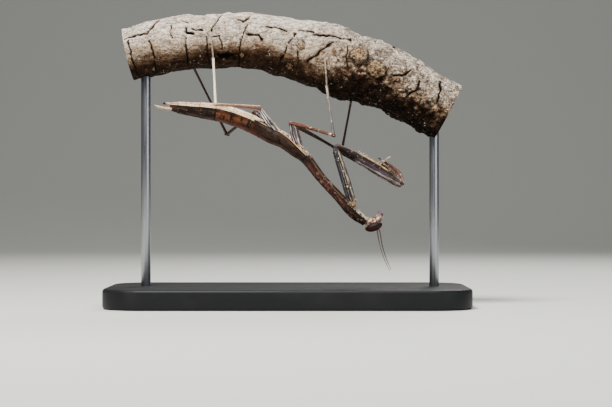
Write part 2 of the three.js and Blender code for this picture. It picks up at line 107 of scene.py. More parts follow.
def curvePoint(points, place):
    # a smooth curve through a row of equally long tuples, read at a place between 0 and the last
    last = len(points) - 1
    i = min(max(int(place), 0), last - 1)
    t = place - i
    rows = points[max(i - 1, 0)], points[i], points[i + 1], points[min(i + 2, last)]
    out = []
    for a, b, c, d in zip(*rows):
        v, w = (c - a) / 2, (d - b) / 2
        out.append((2 * b - 2 * c + v + w) * t**3 + (-3 * b + 3 * c - 2 * v - w) * t**2 + v * t + b)
    return out


def cosineRows(count):
    # shares from 0 to 1 that lie closer together at both ends
    return [0.5 - 0.5 * cos(pi * i / count) for i in range(count + 1)]


def startMesh():
    bm = bmesh.new()
    bm.loops.layers.uv.new("skin")
    return bm


def rollUp(bm, rows, sides, where, slot=0, uvSpan=None):
    # a flat grid rolled into a closed skin: where(row, around) places each point, both also kept as its UV
    uv = bm.loops.layers.uv.verify()
    low, high = uvSpan or (min(rows), max(rows))
    count = len(rows) - 1
    verts = bmesh.ops.create_grid(bm, x_segments=count, y_segments=sides, size=0.5)["verts"]
    for face in {face for vert in verts for face in vert.link_faces}:
        face.material_index = slot
        face.smooth = True
        for loop in face.loops:
            row = rows[round((loop.vert.co.x + 0.5) * count)]
            loop[uv].uv = ((row - low) / (high - low), loop.vert.co.y + 0.5)
    for vert in verts:
        vert.co = where(rows[round((vert.co.x + 0.5) * count)], vert.co.y + 0.5)
    bmesh.ops.remove_doubles(bm, verts=verts, dist=mergeDistance)


def limb(bm, points, girths, rows=24, sides=12, slot=0, deepWay=(0, 0, 1), shape=None, caps=(0.04, 0.04)):
    # a tapering limb: girths are (half width, half depth) spread evenly along it, and its ends are rounded
    def where(along, around):
        here = Vector(curvePoint(points, along * (len(points) - 1)))
        ahead = Vector(curvePoint(points, min(along + 0.01, 1) * (len(points) - 1)))
        behind = Vector(curvePoint(points, max(along - 0.01, 0) * (len(points) - 1)))
        tangent = (ahead - behind).normalized()
        side = Vector(deepWay).cross(tangent).normalized()
        up = tangent.cross(side)
        wide, deep = curvePoint(girths, along * (len(girths) - 1))
        close = 1
        if along < caps[0]:
            close = sqrt(max(1 - (1 - along / caps[0]) ** 2, 0))
        if along > 1 - caps[1]:
            close = sqrt(max(1 - (1 - (1 - along) / caps[1]) ** 2, 0))
        angle = around * 2 * pi
        grow = shape(along, around) if shape else 0
        across = cos(angle) * (wide + grow) * close
        raised = sin(angle) * (deep + grow) * close
        return here + side * across + up * raised

    rollUp(bm, cosineRows(rows), sides, where, slot)


def ball(bm, centre, halves, tilt=0, slot=0, rows=12, sides=16, shape=None):
    # an egg whose long axis runs along X, tilted up by the given degrees about Y
    turn = Matrix.Rotation(radians(-tilt), 3, "Y")

    def where(along, around):
        polar, angle = along * pi, around * 2 * pi
        swell = 1 + (shape(along, around) if shape else 0)
        out = Vector((-cos(polar), sin(polar) * cos(angle), sin(polar) * sin(angle)))
        out = Vector((out.x * halves[0], out.y * halves[1], out.z * halves[2])) * swell
        return Vector(centre) + turn @ out

    rollUp(bm, [i / rows for i in range(rows + 1)], sides, where, slot)


def spike(bm, root, tip, radius, slot=0, bend=(0, 0, 0), rows=6, sides=8):
    middle = (Vector(root) + Vector(tip)) / 2 + Vector(bend)
    girths = [(radius * share, radius * share) for share in (1, 0.8, 0.5, 0.14)]
    way = (Vector(tip) - Vector(root)).normalized()
    deepWay = (0, 0, 1) if abs(way.z) < 0.9 else (1, 0, 0)
    limb(bm, [root, middle, tip], girths, rows, sides, slot, deepWay, caps=(0.01, 0.04))


def toMetres(bm):
    bmesh.ops.scale(bm, vec=(mm, mm, mm), verts=bm.verts)


def meshObject(name, bm, materials):
    mesh = bpy.data.meshes.new(name)
    bm.to_mesh(mesh)
    bm.free()
    for material in materials:
        mesh.materials.append(material)
    return addObject(name, mesh)


def finishPiece(name, bm, materials, replaces=()):
    bmesh.ops.remove_doubles(bm, verts=bm.verts, dist=mergeDistance)
    toMetres(bm)
    bmesh.ops.recalc_face_normals(bm, faces=bm.faces)
    piece = meshObject(name, bm, materials)
    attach(piece, "root")
    if replaces:
        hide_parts(*replaces)


def tint(code):
    # a colour written as six hexadecimal digits, turned to linear light
    parts = [int(code[i:i + 2], 16) / 255 for i in (0, 2, 4)]
    return (*[p / 12.92 if p <= 0.04045 else ((p + 0.055) / 1.055) ** 2.4 for p in parts], 1)


def addNode(tree, kind, inputs=None, **settings):
    made = tree.nodes.new("ShaderNode" + kind)
    for key, value in settings.items():
        setattr(made, key, value)
    for key, value in (inputs or {}).items():
        if isinstance(value, bpy.types.NodeSocket):
            tree.links.new(value, made.inputs[key])
        else:
            made.inputs[key].default_value = value
    return made


def sums(operation, *values):
    # the node goes into the tree that the first linked value is in
    tree = next(value.id_data for value in values if isinstance(value, bpy.types.NodeSocket))
    made = addNode(tree, "Math", dict(enumerate(values)), operation=operation)
    return made.outputs[0]


def times(first, second):
    return sums("MULTIPLY", first, second)


def wave(operation, turns):
    # the sine or cosine of a number of whole turns
    return sums(operation, times(turns, 2 * pi))


def total(start, *terms):
    # the start plus every value times its weight
    for value, weight in terms:
        start = sums("MULTIPLY_ADD", value, weight, start)
    return start


def remap(value, low, high, toLow=0.0, toHigh=1.0):
    span = {"Value": value, "From Min": low, "From Max": high, "To Min": toLow, "To Max": toHigh}
    return addNode(value.id_data, "MapRange", span, interpolation_type="SMOOTHSTEP").outputs[0]


def ramp(value, stops):
    made = addNode(value.id_data, "ValToRGB", {"Fac": value})
    made.color_ramp.interpolation = "LINEAR"
    elements = made.color_ramp.elements
    while len(elements) > 1:
        elements.remove(elements[-1])
    for i, (place, code) in enumerate(stops):
        element = elements[0] if i == 0 else elements.new(place)
        element.position = place
        element.color = tint(code)
    return made.outputs[0]


def blend(mask, below, above, mode="MIX"):
    made = addNode(mask.id_data, "Mix", data_type="RGBA", blend_type=mode)
    for socket, value in ((made.inputs[0], mask), (made.inputs[6], below), (made.inputs[7], above)):
        if isinstance(value, bpy.types.NodeSocket):
            mask.id_data.links.new(value, socket)
        else:
            socket.default_value = tint(value)
    return made.outputs[2]


def cover(colour, mask, share, above, mode="MIX"):
    # a share of a colour laid over another where the mask is
    return blend(times(mask, share), colour, above, mode)


def stretched(place, by):
    # a vector multiplied by another
    return addNode(place.id_data, "VectorMath", {0: place, 1: by}, operation="MULTIPLY").outputs[0]


def cloudy(place, scale, detail, roughness=0.5, output="Fac"):
    inputs = {"Vector": place, "Scale": scale, "Detail": detail, "Roughness": roughness}
    return addNode(place.id_data, "TexNoise", inputs).outputs[output]


def startGroup(name, inputs, output="Mask"):
    # a node group whose inputs are numbers or vectors with these starting values
    tree = bpy.data.node_groups.new(name, "ShaderNodeTree")
    for title, value in inputs.items():
        kind = "NodeSocketVector" if isinstance(value, tuple) else "NodeSocketFloat"
        tree.interface.new_socket(name=title, in_out="INPUT", socket_type=kind).default_value = value
    kind = "NodeSocketVector" if output == "Normal" else "NodeSocketFloat"
    tree.interface.new_socket(name=output, in_out="OUTPUT", socket_type=kind)
    return tree, tree.nodes.new("NodeGroupInput").outputs


def endGroup(tree, value):
    tree.links.new(value, tree.nodes.new("NodeGroupOutput").inputs[0])
    return tree


def placeInMm(tree):
    return stretched(addNode(tree, "TexCoord").outputs["Object"], (1000, 1000, 1000))


def makePatches():
    # cloudy patches from 0 to 1, sized and stretched in millimetres
    tree, given = startGroup("patches", dict(Size=1.0, Stretch=(1, 1, 1), Low=0.4, High=0.6, Detail=3.0))
    drawn = stretched(placeInMm(tree), given["Stretch"])
    cloud = cloudy(drawn, sums("DIVIDE", 1.0, given["Size"]), given["Detail"], 0.6)
    return endGroup(tree, remap(cloud, given["Low"], given["High"]))


def makeFlecks():
    # scattered small round flecks of uneven size
    tree, given = startGroup("flecks", dict(Size=0.3, Amount=0.3))
    inMm = placeInMm(tree)
    offset = stretched(cloudy(inMm, 3.0, 1.0, output="Color"), (0.35, 0.35, 0.35))
    moved = addNode(tree, "VectorMath", {0: inMm, 1: offset}, operation="ADD").outputs[0]
    cells = addNode(tree, "TexVoronoi",
                    {"Vector": moved, "Scale": sums("DIVIDE", 0.6, given["Size"])}).outputs
    pick = addNode(tree, "SeparateColor", {0: cells["Color"]}).outputs[0]
    limit = times(sums("SUBTRACT", given["Amount"], pick), 1.4)
    return endGroup(tree, remap(sums("SUBTRACT", limit, cells["Distance"]), -0.06, 0.06))


def makeRelief():
    # fine uneven relief as a normal, with an extra height fed in from outside
    tree, given = startGroup("relief", dict(Size=0.3, Strength=0.4, Height=0.0), "Normal")
    grain = cloudy(placeInMm(tree), sums("DIVIDE", 1.0, given["Size"]), 4.0, 0.65)
    height = sums("ADD", grain, given["Height"])
    lift = addNode(tree, "Bump", {"Height": height, "Strength": given["Strength"], "Distance": 0.0002})
    return endGroup(tree, lift.outputs["Normal"])


def makeStreaks():
    # streaks that run along a limb, from the way along it in mm and the way round it from 0 to 1
    inputs = dict(Along=0.0, Around=0.0, Length=3.0, Count=10.0, Low=0.45, High=0.6)
    tree, given = startGroup("streaks", inputs)
    turn = times(given["Around"], 2 * pi)
    radius = sums("DIVIDE", given["Count"], 2 * pi)
    spot = addNode(tree, "CombineXYZ", {
        0: sums("DIVIDE", given["Along"], given["Length"]),
        1: times(sums("COSINE", turn), radius),
        2: times(sums("SINE", turn), radius)})
    cloud = cloudy(spot.outputs[0], 1.0, 3.0, 0.55)
    return endGroup(tree, remap(cloud, given["Low"], given["High"]))


def makeMarks():
    # one round mark with a wavy edge, at a place along and a turn round the skin
    tree, given = startGroup("marks", dict(Along=0.0, Around=0.0, Place=0.5, Turn=0.0, Long=0.1, Round=0.1))
    uneven = cloudy(placeInMm(tree), 2.4, 3.0)
    away = sums("DIVIDE", sums("SUBTRACT", given["Along"], given["Place"]), given["Long"])
    aside = sums("WRAP", sums("SUBTRACT", given["Around"], given["Turn"]), 0.5, -0.5)
    aside = sums("DIVIDE", aside, given["Round"])
    reach = sums("SQRT", sums("ADD", times(away, away), times(aside, aside)))
    return endGroup(tree, remap(sums("MULTIPLY_ADD", uneven, 1.4, reach), 1.85, 1.55))


patchesGroup, flecksGroup, reliefGroup = makePatches(), makeFlecks(), makeRelief()
streaksGroup, marksGroup = makeStreaks(), makeMarks()


def effect(tree, group, **inputs):
    made = tree.nodes.new("ShaderNodeGroup")
    made.node_tree = group
    for key, value in inputs.items():
        socket = made.inputs[key.capitalize()]
        if isinstance(value, bpy.types.NodeSocket):
            tree.links.new(value, socket)
        else:
            socket.default_value = value
    return made.outputs[0]


# the same three effects with their usual inputs
def patchy(tree, size, low, high, detail=3.0, stretch=(1, 1, 1)):
    return effect(tree, patchesGroup, size=size, low=low, high=high, detail=detail, stretch=stretch)


def flecky(tree, size, amount):
    return effect(tree, flecksGroup, size=size, amount=amount)


def streaky(along, around, length, count, low=0.45, high=0.6):
    streaks = dict(along=along, around=around, length=length, count=count, low=low, high=high)
    return effect(along.id_data, streaksGroup, **streaks)


def startMaterial(name, roughness=0.5, specular=0.15):
    material = bpy.data.materials.new(name)
    material.use_nodes = True
    tree = material.node_tree
    shader = tree.nodes["Principled BSDF"]
    shader.inputs["Roughness"].default_value = roughness
    shader.inputs["Specular IOR Level"].default_value = specular
    skin = addNode(tree, "UVMap", uv_map="skin").outputs[0]
    split = addNode(tree, "SeparateXYZ", {0: skin})
    return material, tree, split.outputs[0], split.outputs[1]


def band(value, centre, half, soft):
    # 1 within the half width of the centre, fading to 0 over the soft edge
    away = sums("ABSOLUTE", sums("SUBTRACT", value, centre))
    return remap(away, half + soft, half)


def bandRound(around, centre, half, soft=0.015):
    # the same for a value that goes round from 1 to 0
    away = sums("ABSOLUTE", sums("WRAP", sums("SUBTRACT", around, centre), 0.5, -0.5))
    return remap(away, half + soft, half)


def dress(material, colour, size, strength, height=None, roughness=None):
    # colour, fine relief of this size and strength, and roughness where it varies
    tree = material.node_tree
    shader = tree.nodes["Principled BSDF"]
    tree.links.new(colour, shader.inputs["Base Color"])
    inputs = dict(height=height) if height else {}
    tree.links.new(effect(tree, reliefGroup, size=size, strength=strength, **inputs), shader.inputs["Normal"])
    if roughness:
        tree.links.new(roughness, shader.inputs["Roughness"])
    return material


stand = dict(length=90, width=44, height=5, corner=10, chamfer=0.8, rodRadius=1.2, rodChamfer=0.15, socket=3,
             paint="17181a", steel="8f9398",
             rods={"stand_rod_rear": (-35.5, 61), "stand_rod_front": (36.5, 46)})  # x, top


def paintMaterial():
    material, tree, _, _ = startMaterial("mattPaint", 0.55)
    dust = patchy(tree, 9.0, 0.45, 0.75, 6.0)
    colour = blend(times(dust, 0.2), stand["paint"], "2b2b2b")
    return dress(material, colour, 0.5, 0.12, roughness=remap(dust, 0.0, 1.0, 0.48, 0.66))


def steelMaterial():
    material, tree, _, _ = startMaterial("brushedSteel", 0.3, 0.5)
    tree.nodes["Principled BSDF"].inputs["Metallic"].default_value = 1
    lines = patchy(tree, 0.25, 0.2, 0.8, stretch=(1, 1, 0.02))
    return dress(material, blend(lines, stand["steel"], "a3a6aa"), 0.12, 0.08,
                 roughness=remap(lines, 0.0, 1.0, 0.26, 0.34))


def rise(edge):
    # how much higher one end of an edge is than the other
    return abs(edge.verts[0].co.z - edge.verts[1].co.z)


def bevel(bm, edges, offset, segments):
    bmesh.ops.bevel(bm, geom=edges, offset=offset, segments=segments, profile=0.5, affect="EDGES",
                    material=-1)


def makeStand():
    bm = startMesh()
    bmesh.ops.create_cube(bm, size=1)
    bmesh.ops.scale(bm, vec=(stand["length"], stand["width"], stand["height"]), verts=bm.verts)
    bmesh.ops.translate(bm, vec=(0, 0, stand["height"] / 2), verts=bm.verts)
    bevel(bm, [edge for edge in bm.edges if rise(edge) > 1], stand["corner"], 14)
    bevel(bm, [edge for edge in bm.edges if rise(edge) < 0.1 and edge.calc_face_angle(0) > 1],
          stand["chamfer"], 4)
    for face in bm.faces:
        face.smooth = face.calc_area() < 300
    finishPiece("standBoard", bm, [paintMaterial()], ["stand_base"])
    steel = steelMaterial()
    for node, (x, top) in stand["rods"].items():
        bm = startMesh()
        foot = stand["height"] - stand["socket"]
        radius = stand["rodRadius"]
        bmesh.ops.create_cone(bm, cap_ends=True, segments=48, radius1=radius, radius2=radius,
                              depth=top - foot)
        bmesh.ops.translate(bm, vec=(x, 0, (top + foot) / 2), verts=bm.verts)
        bevel(bm, [edge for edge in bm.edges if rise(edge) < 0.1], stand["rodChamfer"], 2)
        for face in bm.faces:
            face.smooth = len(face.verts) < 10
        finishPiece("steelRod" + node.split("_")[-1].capitalize(), bm, [steel], [node])


makeStand()
print("the stand is made")

branch = dict(
    line=[(-40, 62.9, 6.5), (-32, 64.7, 6.8), (-22, 66, 6.7), (-12, 66.3, 6.8), (-2, 65.1, 7.2), (8, 62.4, 8),
          (14, 60.2, 8.4), (20.5, 58.5, 8.1), (28, 55, 7.6), (34, 51.6, 7.4), (40, 48.4, 7.2)],
    knots=[(14.3, 205, 0.8, 2.6), (20.2, 188, 0.9, 2.8), (9.5, 95, 0.6, 3.2)],  # x, angle, height, reach
    nubs=[(-14.9, 108, 0.55, 0.9), (38.2, 120, 0.5, 1.0), (-24.5, 95, 0.3, 1.3), (3, 100, 0.3, 1.6)],
    # healed buds: x, angle, reach, height
    rosettes=[(16.9, 161, 1.9, 0.75), (21.6, 176, 2.0, 0.8), (3.1, 174, 0.9, 0.4), (1.6, 222, 0.9, 0.25),
              (-11, 215, 0.6, 0.2), (31, 60, 1.6, 0.6), (-20, 20, 1.3, 0.5)],
    rows=380, sides=232,
    # cracks on the left side: half width, depth, then points (x, height as a share of the radius)
    cracks=[
        (0.16, 0.3, [(-33.9, 0.22), (-33.4, -0.15), (-33.8, -0.9)]),
        (0.14, 0.3, [(-27.7, 0.7), (-28.5, 0.46), (-28.4, 0.15)]),
        (0.18, 0.42, [(-25, 0.1), (-25.3, -0.4), (-25.2, -0.94)]),
        (0.24, 0.55, [(-24.8, 0.5), (-24.7, 0.28), (-23.1, 0.23)]),
        (0.18, 0.5, [(-23.5, 0.4), (-20.9, 0.31)]),
        (0.14, 0.3, [(-25.8, 0.8), (-24.2, 0.69)]),
        (0.16, 0.35, [(-19.9, 0.05), (-20, -0.26), (-19.9, -0.9)]),
        (0.2, 0.5, [(-16.3, 0.88), (-17.2, 0.66), (-18.7, 0.28)]),
        (0.16, 0.4, [(-18.4, 0.05), (-16.9, 0.09), (-16.1, -0.29), (-16.3, -0.42)]),
        (0.15, 0.35, [(-12.5, 0.66), (-11.2, 0.61), (-9.7, 0.82)]),
        (0.15, 0.38, [(-10.3, 0.53), (-11.4, -0.02), (-11.9, -0.56), (-11.8, -0.95)]),
        (0.3, 0.6, [(-9.9, 0.18), (-7.5, 0.16), (-6.4, 0.02)]),
        (0.18, 0.42, [(-6, 0.49), (-4.5, 0.5), (-1.2, 0.47)]),
        (0.17, 0.4, [(1.1, 0.42), (0.1, -0.06), (-1.2, -0.75)]),
        (0.18, 0.4, [(1.8, 0.54), (5, 0.6)]),
        (0.22, 0.55, [(5.2, 0.55), (9.4, 0.66), (13.8, 0.7)]),
        (0.16, 0.35, [(2.8, -0.12), (3.8, -0.6)]),
        (0.24, 0.55, [(9.9, 0.48), (8, 0.1), (5.7, -0.35)]),
        (0.2, 0.45, [(35, 0.74), (36, 0.4), (36.5, 0.1)]),
        (0.16, 0.4, [(-38.6, 0.4), (-38.8, -0.16), (-38.6, -0.95)]),
        (0.16, 0.4, [(-39.5, 0.5), (-33.9, 0.47), (-32.6, 0.68), (-30.9, 0.9)]),
        (0.16, 0.4, [(13.6, 0.5), (13.9, 0.2), (14.8, -0.1)]),
        (0.18, 0.45, [(25.5, 0.1), (27.6, 0.3), (28.4, 0.55)]),
        (0.18, 0.45, [(30.2, -0.3), (31.4, 0.1), (31.1, 0.4)]),
    ],
    hollow=(-15.2, -0.66, 2.3, 0.75, 1.1),  # x, height share, half length, half height, depth
    strayCracks=70, wander=0.34, plateReach=1.1, crackReach=2.75, binLength=2,
    colours=dict(bark=[(0, "22160d"), (0.12, "3a2819"), (0.25, "5c4430"), (0.38, "8f765f"), (0.52, "bba58d"),
                       (0.72, "e4d5c2"), (1, "f8f0e3")],
                 crackShadow="0d0806", crust="efe8da", stainAndShade="94785e", rust="5e3c26", grey="8c8984", darkPatchesAndShade="16110e",
                 moss="7c7f6c", bud="c2a27a", budDark="3f2c1e", wood="b08d62", woodDark="6f4f31"))


def branchLift(x, angle, radius):
    # the broad swellings, healed knots and small nubs; angle in degrees, 90 on top and 180 on the left side
    turn = radians(angle)
    lift = 0.18 * sin(3 * turn + x * 0.35) + 0.12 * sin(x * 0.8 + 2 * turn)
    for atX, atAngle, height, reach in branch["knots"] + branch["nubs"]:
        away = radians((angle - atAngle + 180) % 360 - 180) * radius
        distance = hypot(x - atX, away) / reach
        lift += height * exp(-distance * distance)
        if reach > 2.5:
            lift += 0.12 * sin(distance * 11) * exp(-distance * distance)
    return lift


def branchCracks():
    # every crack as short straight stretches (x, angle, x, angle, half width, depth), in bins along x
    stretches = []
    for width, depth, points in branch["cracks"]:
        placed = [(x, 180 - degrees(asin(height))) for x, height in points]
        stretches += [(*a, *b, width, depth) for a, b in zip(placed, placed[1:])]
    for _ in range(branch["strayCracks"]):
        x, angle = random.uniform(-39, 39), random.uniform(255, 440)
        lean, long = random.uniform(-1.4, 1.4), random.uniform(15, 60)
        if random.random() < 0.45:
            lean, long = random.uniform(1.5, 4), random.uniform(-6, 6)
        width, depth = random.uniform(0.12, 0.24), random.uniform(0.2, 0.5)
        middle = (x + lean / 2 + random.uniform(-0.4, 0.4), angle + long / 2 + random.uniform(-4, 4))
        stretches += [(x, angle, *middle, width, depth), (*middle, x + lean, angle + long, width, depth)]
    bins, binLength = {}, branch["binLength"]
    reach = branch["crackReach"]
    for stretch in stretches:
        low, high = sorted((stretch[0], stretch[2]))
        for index in range(int((low - reach) // binLength), int((high + reach) // binLength) + 1):
            bins.setdefault(index, []).append(stretch)
    return bins


def crackAt(bins, x, angle, radius, vary):
    # how open the bark is at a place (0 to 1), how deep in mm, and how far the plate beside it stands up
    arc = radians(radius)
    gap, deep, raised = 0, 0, 0
    for x1, a1, x2, a2, width, depth in bins.get(int(x // branch["binLength"]), []):
        px, pa = x - x1, ((angle - a1 + 180) % 360 - 180) * arc
        sx, sa = x2 - x1, (a2 - a1) * arc
        long = hypot(sx, sa) + 1e-6
        run = (px * sx + pa * sa) / long
        t = min(max(run / long, 0), 1)
        away = hypot(px - t * sx, pa - t * sa)
        if away < branch["crackReach"]:
            share = exp(-((away / (width * vary)) ** 2))
            gap, deep = max(gap, share), max(deep, share * depth)
            if px * sa > pa * sx:
                past = max(-run, run - long, 0)
                raised = max(raised, depth * 0.55 * exp(-away / branch["plateReach"]) * ease(0.6, 0, past))
    x0, height, long, tall, depth = branch["hollow"]
    away = ((angle - 180 + degrees(asin(height)) + 180) % 360 - 180) * arc
    share = exp(-(((x - x0) / (long * vary)) ** 4 + (away / (tall * vary)) ** 4))
    return max(gap, share), max(deep, share * depth), raised


def budAt(x, angle, radius):
    # a healed bud, a rough button inside a ring-shaped furrow: how much of each there is, and the lift in mm
    mark, furrow, lift = 0, 0, 0
    for atX, atAngle, reach, height in branch["rosettes"]:
        away = radians((angle - atAngle + 180) % 360 - 180) * radius
        distance = hypot(x - atX, away) / reach
        if distance < 2:
            button = exp(-(distance ** 4))
            mark = max(mark, button * (0.6 + 0.4 * cos(distance * 15)))
            furrow = max(furrow, hump(distance, 1.2, 0.14))
            ripple = 0.25 * cos(distance * 15) * exp(-distance)
            lift += height * (button + ripple - 0.5 * hump(distance, 1.25, 0.25))
    return mark, furrow, lift


def makeBranch():
    bm = startMesh()
    crevice = bm.verts.layers.float.new("crevice")
    bud = bm.verts.layers.float.new("bud")
    uv = bm.loops.layers.uv["skin"]
    line, last, wander = branch["line"], len(branch["line"]) - 1, branch["wander"]
    rows, sides = branch["rows"], branch["sides"]
    bins = branchCracks()
    marks = {}

    def surface(t, around):
        x, z, radius = curvePoint(line, t * last)
        ahead, behind = curvePoint(line, min(t + 0.002, 1) * last), curvePoint(line, max(t - 0.002, 0) * last)
        centre = Vector((x, 0, z))
        up = Vector((behind[1] - ahead[1], 0, ahead[0] - behind[0])).normalized()
        turn = radians(around * 360)
        out = Vector((0, 1, 0)) * cos(turn) + up * sin(turn)
        spot = centre + out * radius
        shift = noise.noise_vector(spot * 0.9)
        angle = around * 360
        vary = 1 + 0.6 * noise.noise(spot * 1.3)
        gap, deep, raised = crackAt(bins, x + shift.x * wander, angle + shift.y * wander * 8, radius, vary)
        knot, furrow, swell = budAt(x + shift.x * 0.3, angle + shift.z * 5, radius)
        # the bark is rougher towards the thick end and underneath
        aged = 0.7 * ease(2, 17, x) + 0.3 * ease(0.3, -0.8, sin(turn))
        lumps = noise.fractal(spot * 0.5, 1.0, 2.1, 5)
        fold = abs(noise.noise(Vector((spot.x * 0.7, spot.y, spot.z)) * 1.3))
        wrinkle = max(1 - fold * 6, 0) * (0.25 + 0.75 * aged)
        far = radius + branchLift(x, angle, radius) + swell + raised - deep
        far += mix(0.14, 0.55, aged) * lumps - 0.28 * wrinkle
        marks[round(t * rows), round(around * sides) % sides] = max(gap, 0.55 * wrinkle, 0.6 * furrow), knot
        return centre, out, far

    def where(t, around):
        centre, out, far = surface(t, around)
        return centre + out * far

    def sawn(t):
        # the flat cut end: rings of points from the middle to the bark
        def place(share, around):
            centre, out, far = surface(t, around)
            return centre + out * far * share
        return place

    rollUp(bm, [i / rows for i in range(rows + 1)], sides, where, 0)
    for face in bm.faces:
        for loop in face.loops:
            t, around = loop[uv].uv
            loop.vert[crevice], loop.vert[bud] = marks[round(t * rows), round(around * sides) % sides]
    for t in (0, 1):
        rollUp(bm, [0, 0.2, 0.4, 0.6, 0.8, 0.92, 1], sides, sawn(t), 1)
    return bm


def barkMaterial():
    c = branch["colours"]
    material, tree, _, around = startMaterial("bark", 0.9, 0.1)
    place = addNode(tree, "TexCoord").outputs["Object"]
    x = addNode(tree, "SeparateXYZ", {0: place}).outputs[0]
    height = wave("SINE", around)
    thick = remap(x, 0.005, 0.016)
    cloud = patchy(tree, 5.0, 0.25, 0.75, 4.0, (0.5, 1, 1))
    grain = patchy(tree, 1.1, 0.25, 0.75, 6.0, (0.7, 1, 1))
    fine = patchy(tree, 0.34, 0.3, 0.7, 3.0)
    spread = times(thick, sums("SUBTRACT", grain, 0.5))
    # the colour runs from dark underneath to pale on top: painted shade on the underside, mixed with random
    # tone from clouds and grain, and darker towards the thick end
    uneven = total(-0.38, (height, 1.15), (cloud, 0.55), (grain, 0.4), (fine, 0.25), (thick, -0.3),
                   (spread, 0.9))
    colour = ramp(remap(uneven, -1.15, 1.05), c["bark"])
    stainAndShade = patchy(tree, 2.2, 0.5, 0.66, 5.0)
    colour = cover(colour, stainAndShade, 0.4, c["stainAndShade"], "MULTIPLY")
    stipple = remap(total(0.0, (fine, 0.55), (grain, 0.45)), 0.42, 0.72)
    colour = cover(colour, stipple, 0.6, "86705c", "MULTIPLY")
    blotch = patchy(tree, 0.8, 0.44, 0.6, 5.0, (0.6, 1, 1))
    colour = cover(colour, blotch, 0.5, "b49a82", "MULTIPLY")
    # thin wrinkles that run along the bark, painted darker in their creases as shade
    wavy = cloudy(stretched(place, (260, 1300, 1300)), 1.0, 3.0, 0.6)
    wrinkled = band(wavy, 0.5, 0.006, 0.02)
    colour = cover(colour, wrinkled, remap(cloud, 0.2, 0.7, 0.15, 0.7), "6a5340", "MULTIPLY")
    # rust-brown patches only where the colour runs dark, which is mostly the painted shade underneath
    low = remap(uneven, 0.1, -0.5)
    rust = times(patchy(tree, 1.5, 0.5, 0.62, 4.0), low)
    colour = cover(colour, rust, 0.35, c["rust"])
    # grey and dark patches towards the thick end; the dark patches grow stronger underneath, as painted shade
    grey = times(patchy(tree, 2.8, 0.46, 0.58, 5.0), thick)
    colour = cover(colour, grey, 0.55, c["grey"], "MULTIPLY")
    darkPatchesAndShade = times(patchy(tree, 1.4, 0.5, 0.6, 6.0), total(0.15, (thick, 0.75)))
    colour = cover(colour, darkPatchesAndShade, remap(height, 1.0, -0.1, 0.15, 0.85), c["darkPatchesAndShade"])
    moss = times(flecky(tree, 0.7, 0.2), 0.4)
    colour = blend(moss, colour, c["moss"])
    crust = flecky(tree, 0.2, 0.34)
    crusty = remap(patchy(tree, 3.0, 0.5, 0.64), 0.0, 1.0, 0.06, 0.7)
    colour = cover(colour, crust, crusty, c["crust"])
    pores = flecky(tree, 0.24, 0.3)
    colour = cover(colour, pores, 0.6, "2a1c13")
    bud = addNode(tree, "Attribute", attribute_name="bud").outputs["Fac"]
    knobs = remap(total(0.0, (fine, 0.6), (grain, 0.4)), 0.35, 0.6)
    colour = blend(remap(bud, 0.05, 0.5, 0.0, 0.8), colour, blend(knobs, c["budDark"], c["bud"]))
    # cracks, folds and bud furrows (the crevice attribute): painted shade round them in the stain brown, and
    # near-black painted shadow inside the cracks
    gap = addNode(tree, "Attribute", attribute_name="crevice").outputs["Fac"]
    colour = blend(remap(gap, 0.01, 0.2, 0.0, 0.5), colour, c["stainAndShade"], "MULTIPLY")
    colour = blend(remap(gap, 0.12, 0.75), colour, c["crackShadow"])
    lift = total(0.0, (fine, -1.5), (grain, -2.5), (crust, 0.8), (pores, -1.0), (wrinkled, -1.5))
    return dress(material, colour, 0.3, 0.9, lift)


def cutWoodMaterial():
    c = branch["colours"]
    material, tree, along, _ = startMaterial("cutWood", 0.7)
    wobble = patchy(tree, 2.5, 0.2, 0.8)
    rings = sums("SINE", times(sums("ADD", along, times(wobble, 0.05)), 75.0))
    colour = blend(remap(rings, -0.4, 1.0, 0.0, 0.65), c["wood"], c["woodDark"])
    rays = patchy(tree, 0.25, 0.5, 0.7)
    colour = cover(colour, rays, 0.3, "8a6843")
    colour = blend(remap(along, 0.9, 0.94), colour, "3a2a1e")
    return dress(material, colour, 0.15, 0.35, times(rings, 0.3))


finishPiece("barkSkin", makeBranch(), [barkMaterial(), cutWoodMaterial()], ["perch_branch"])
print("the branch is made")


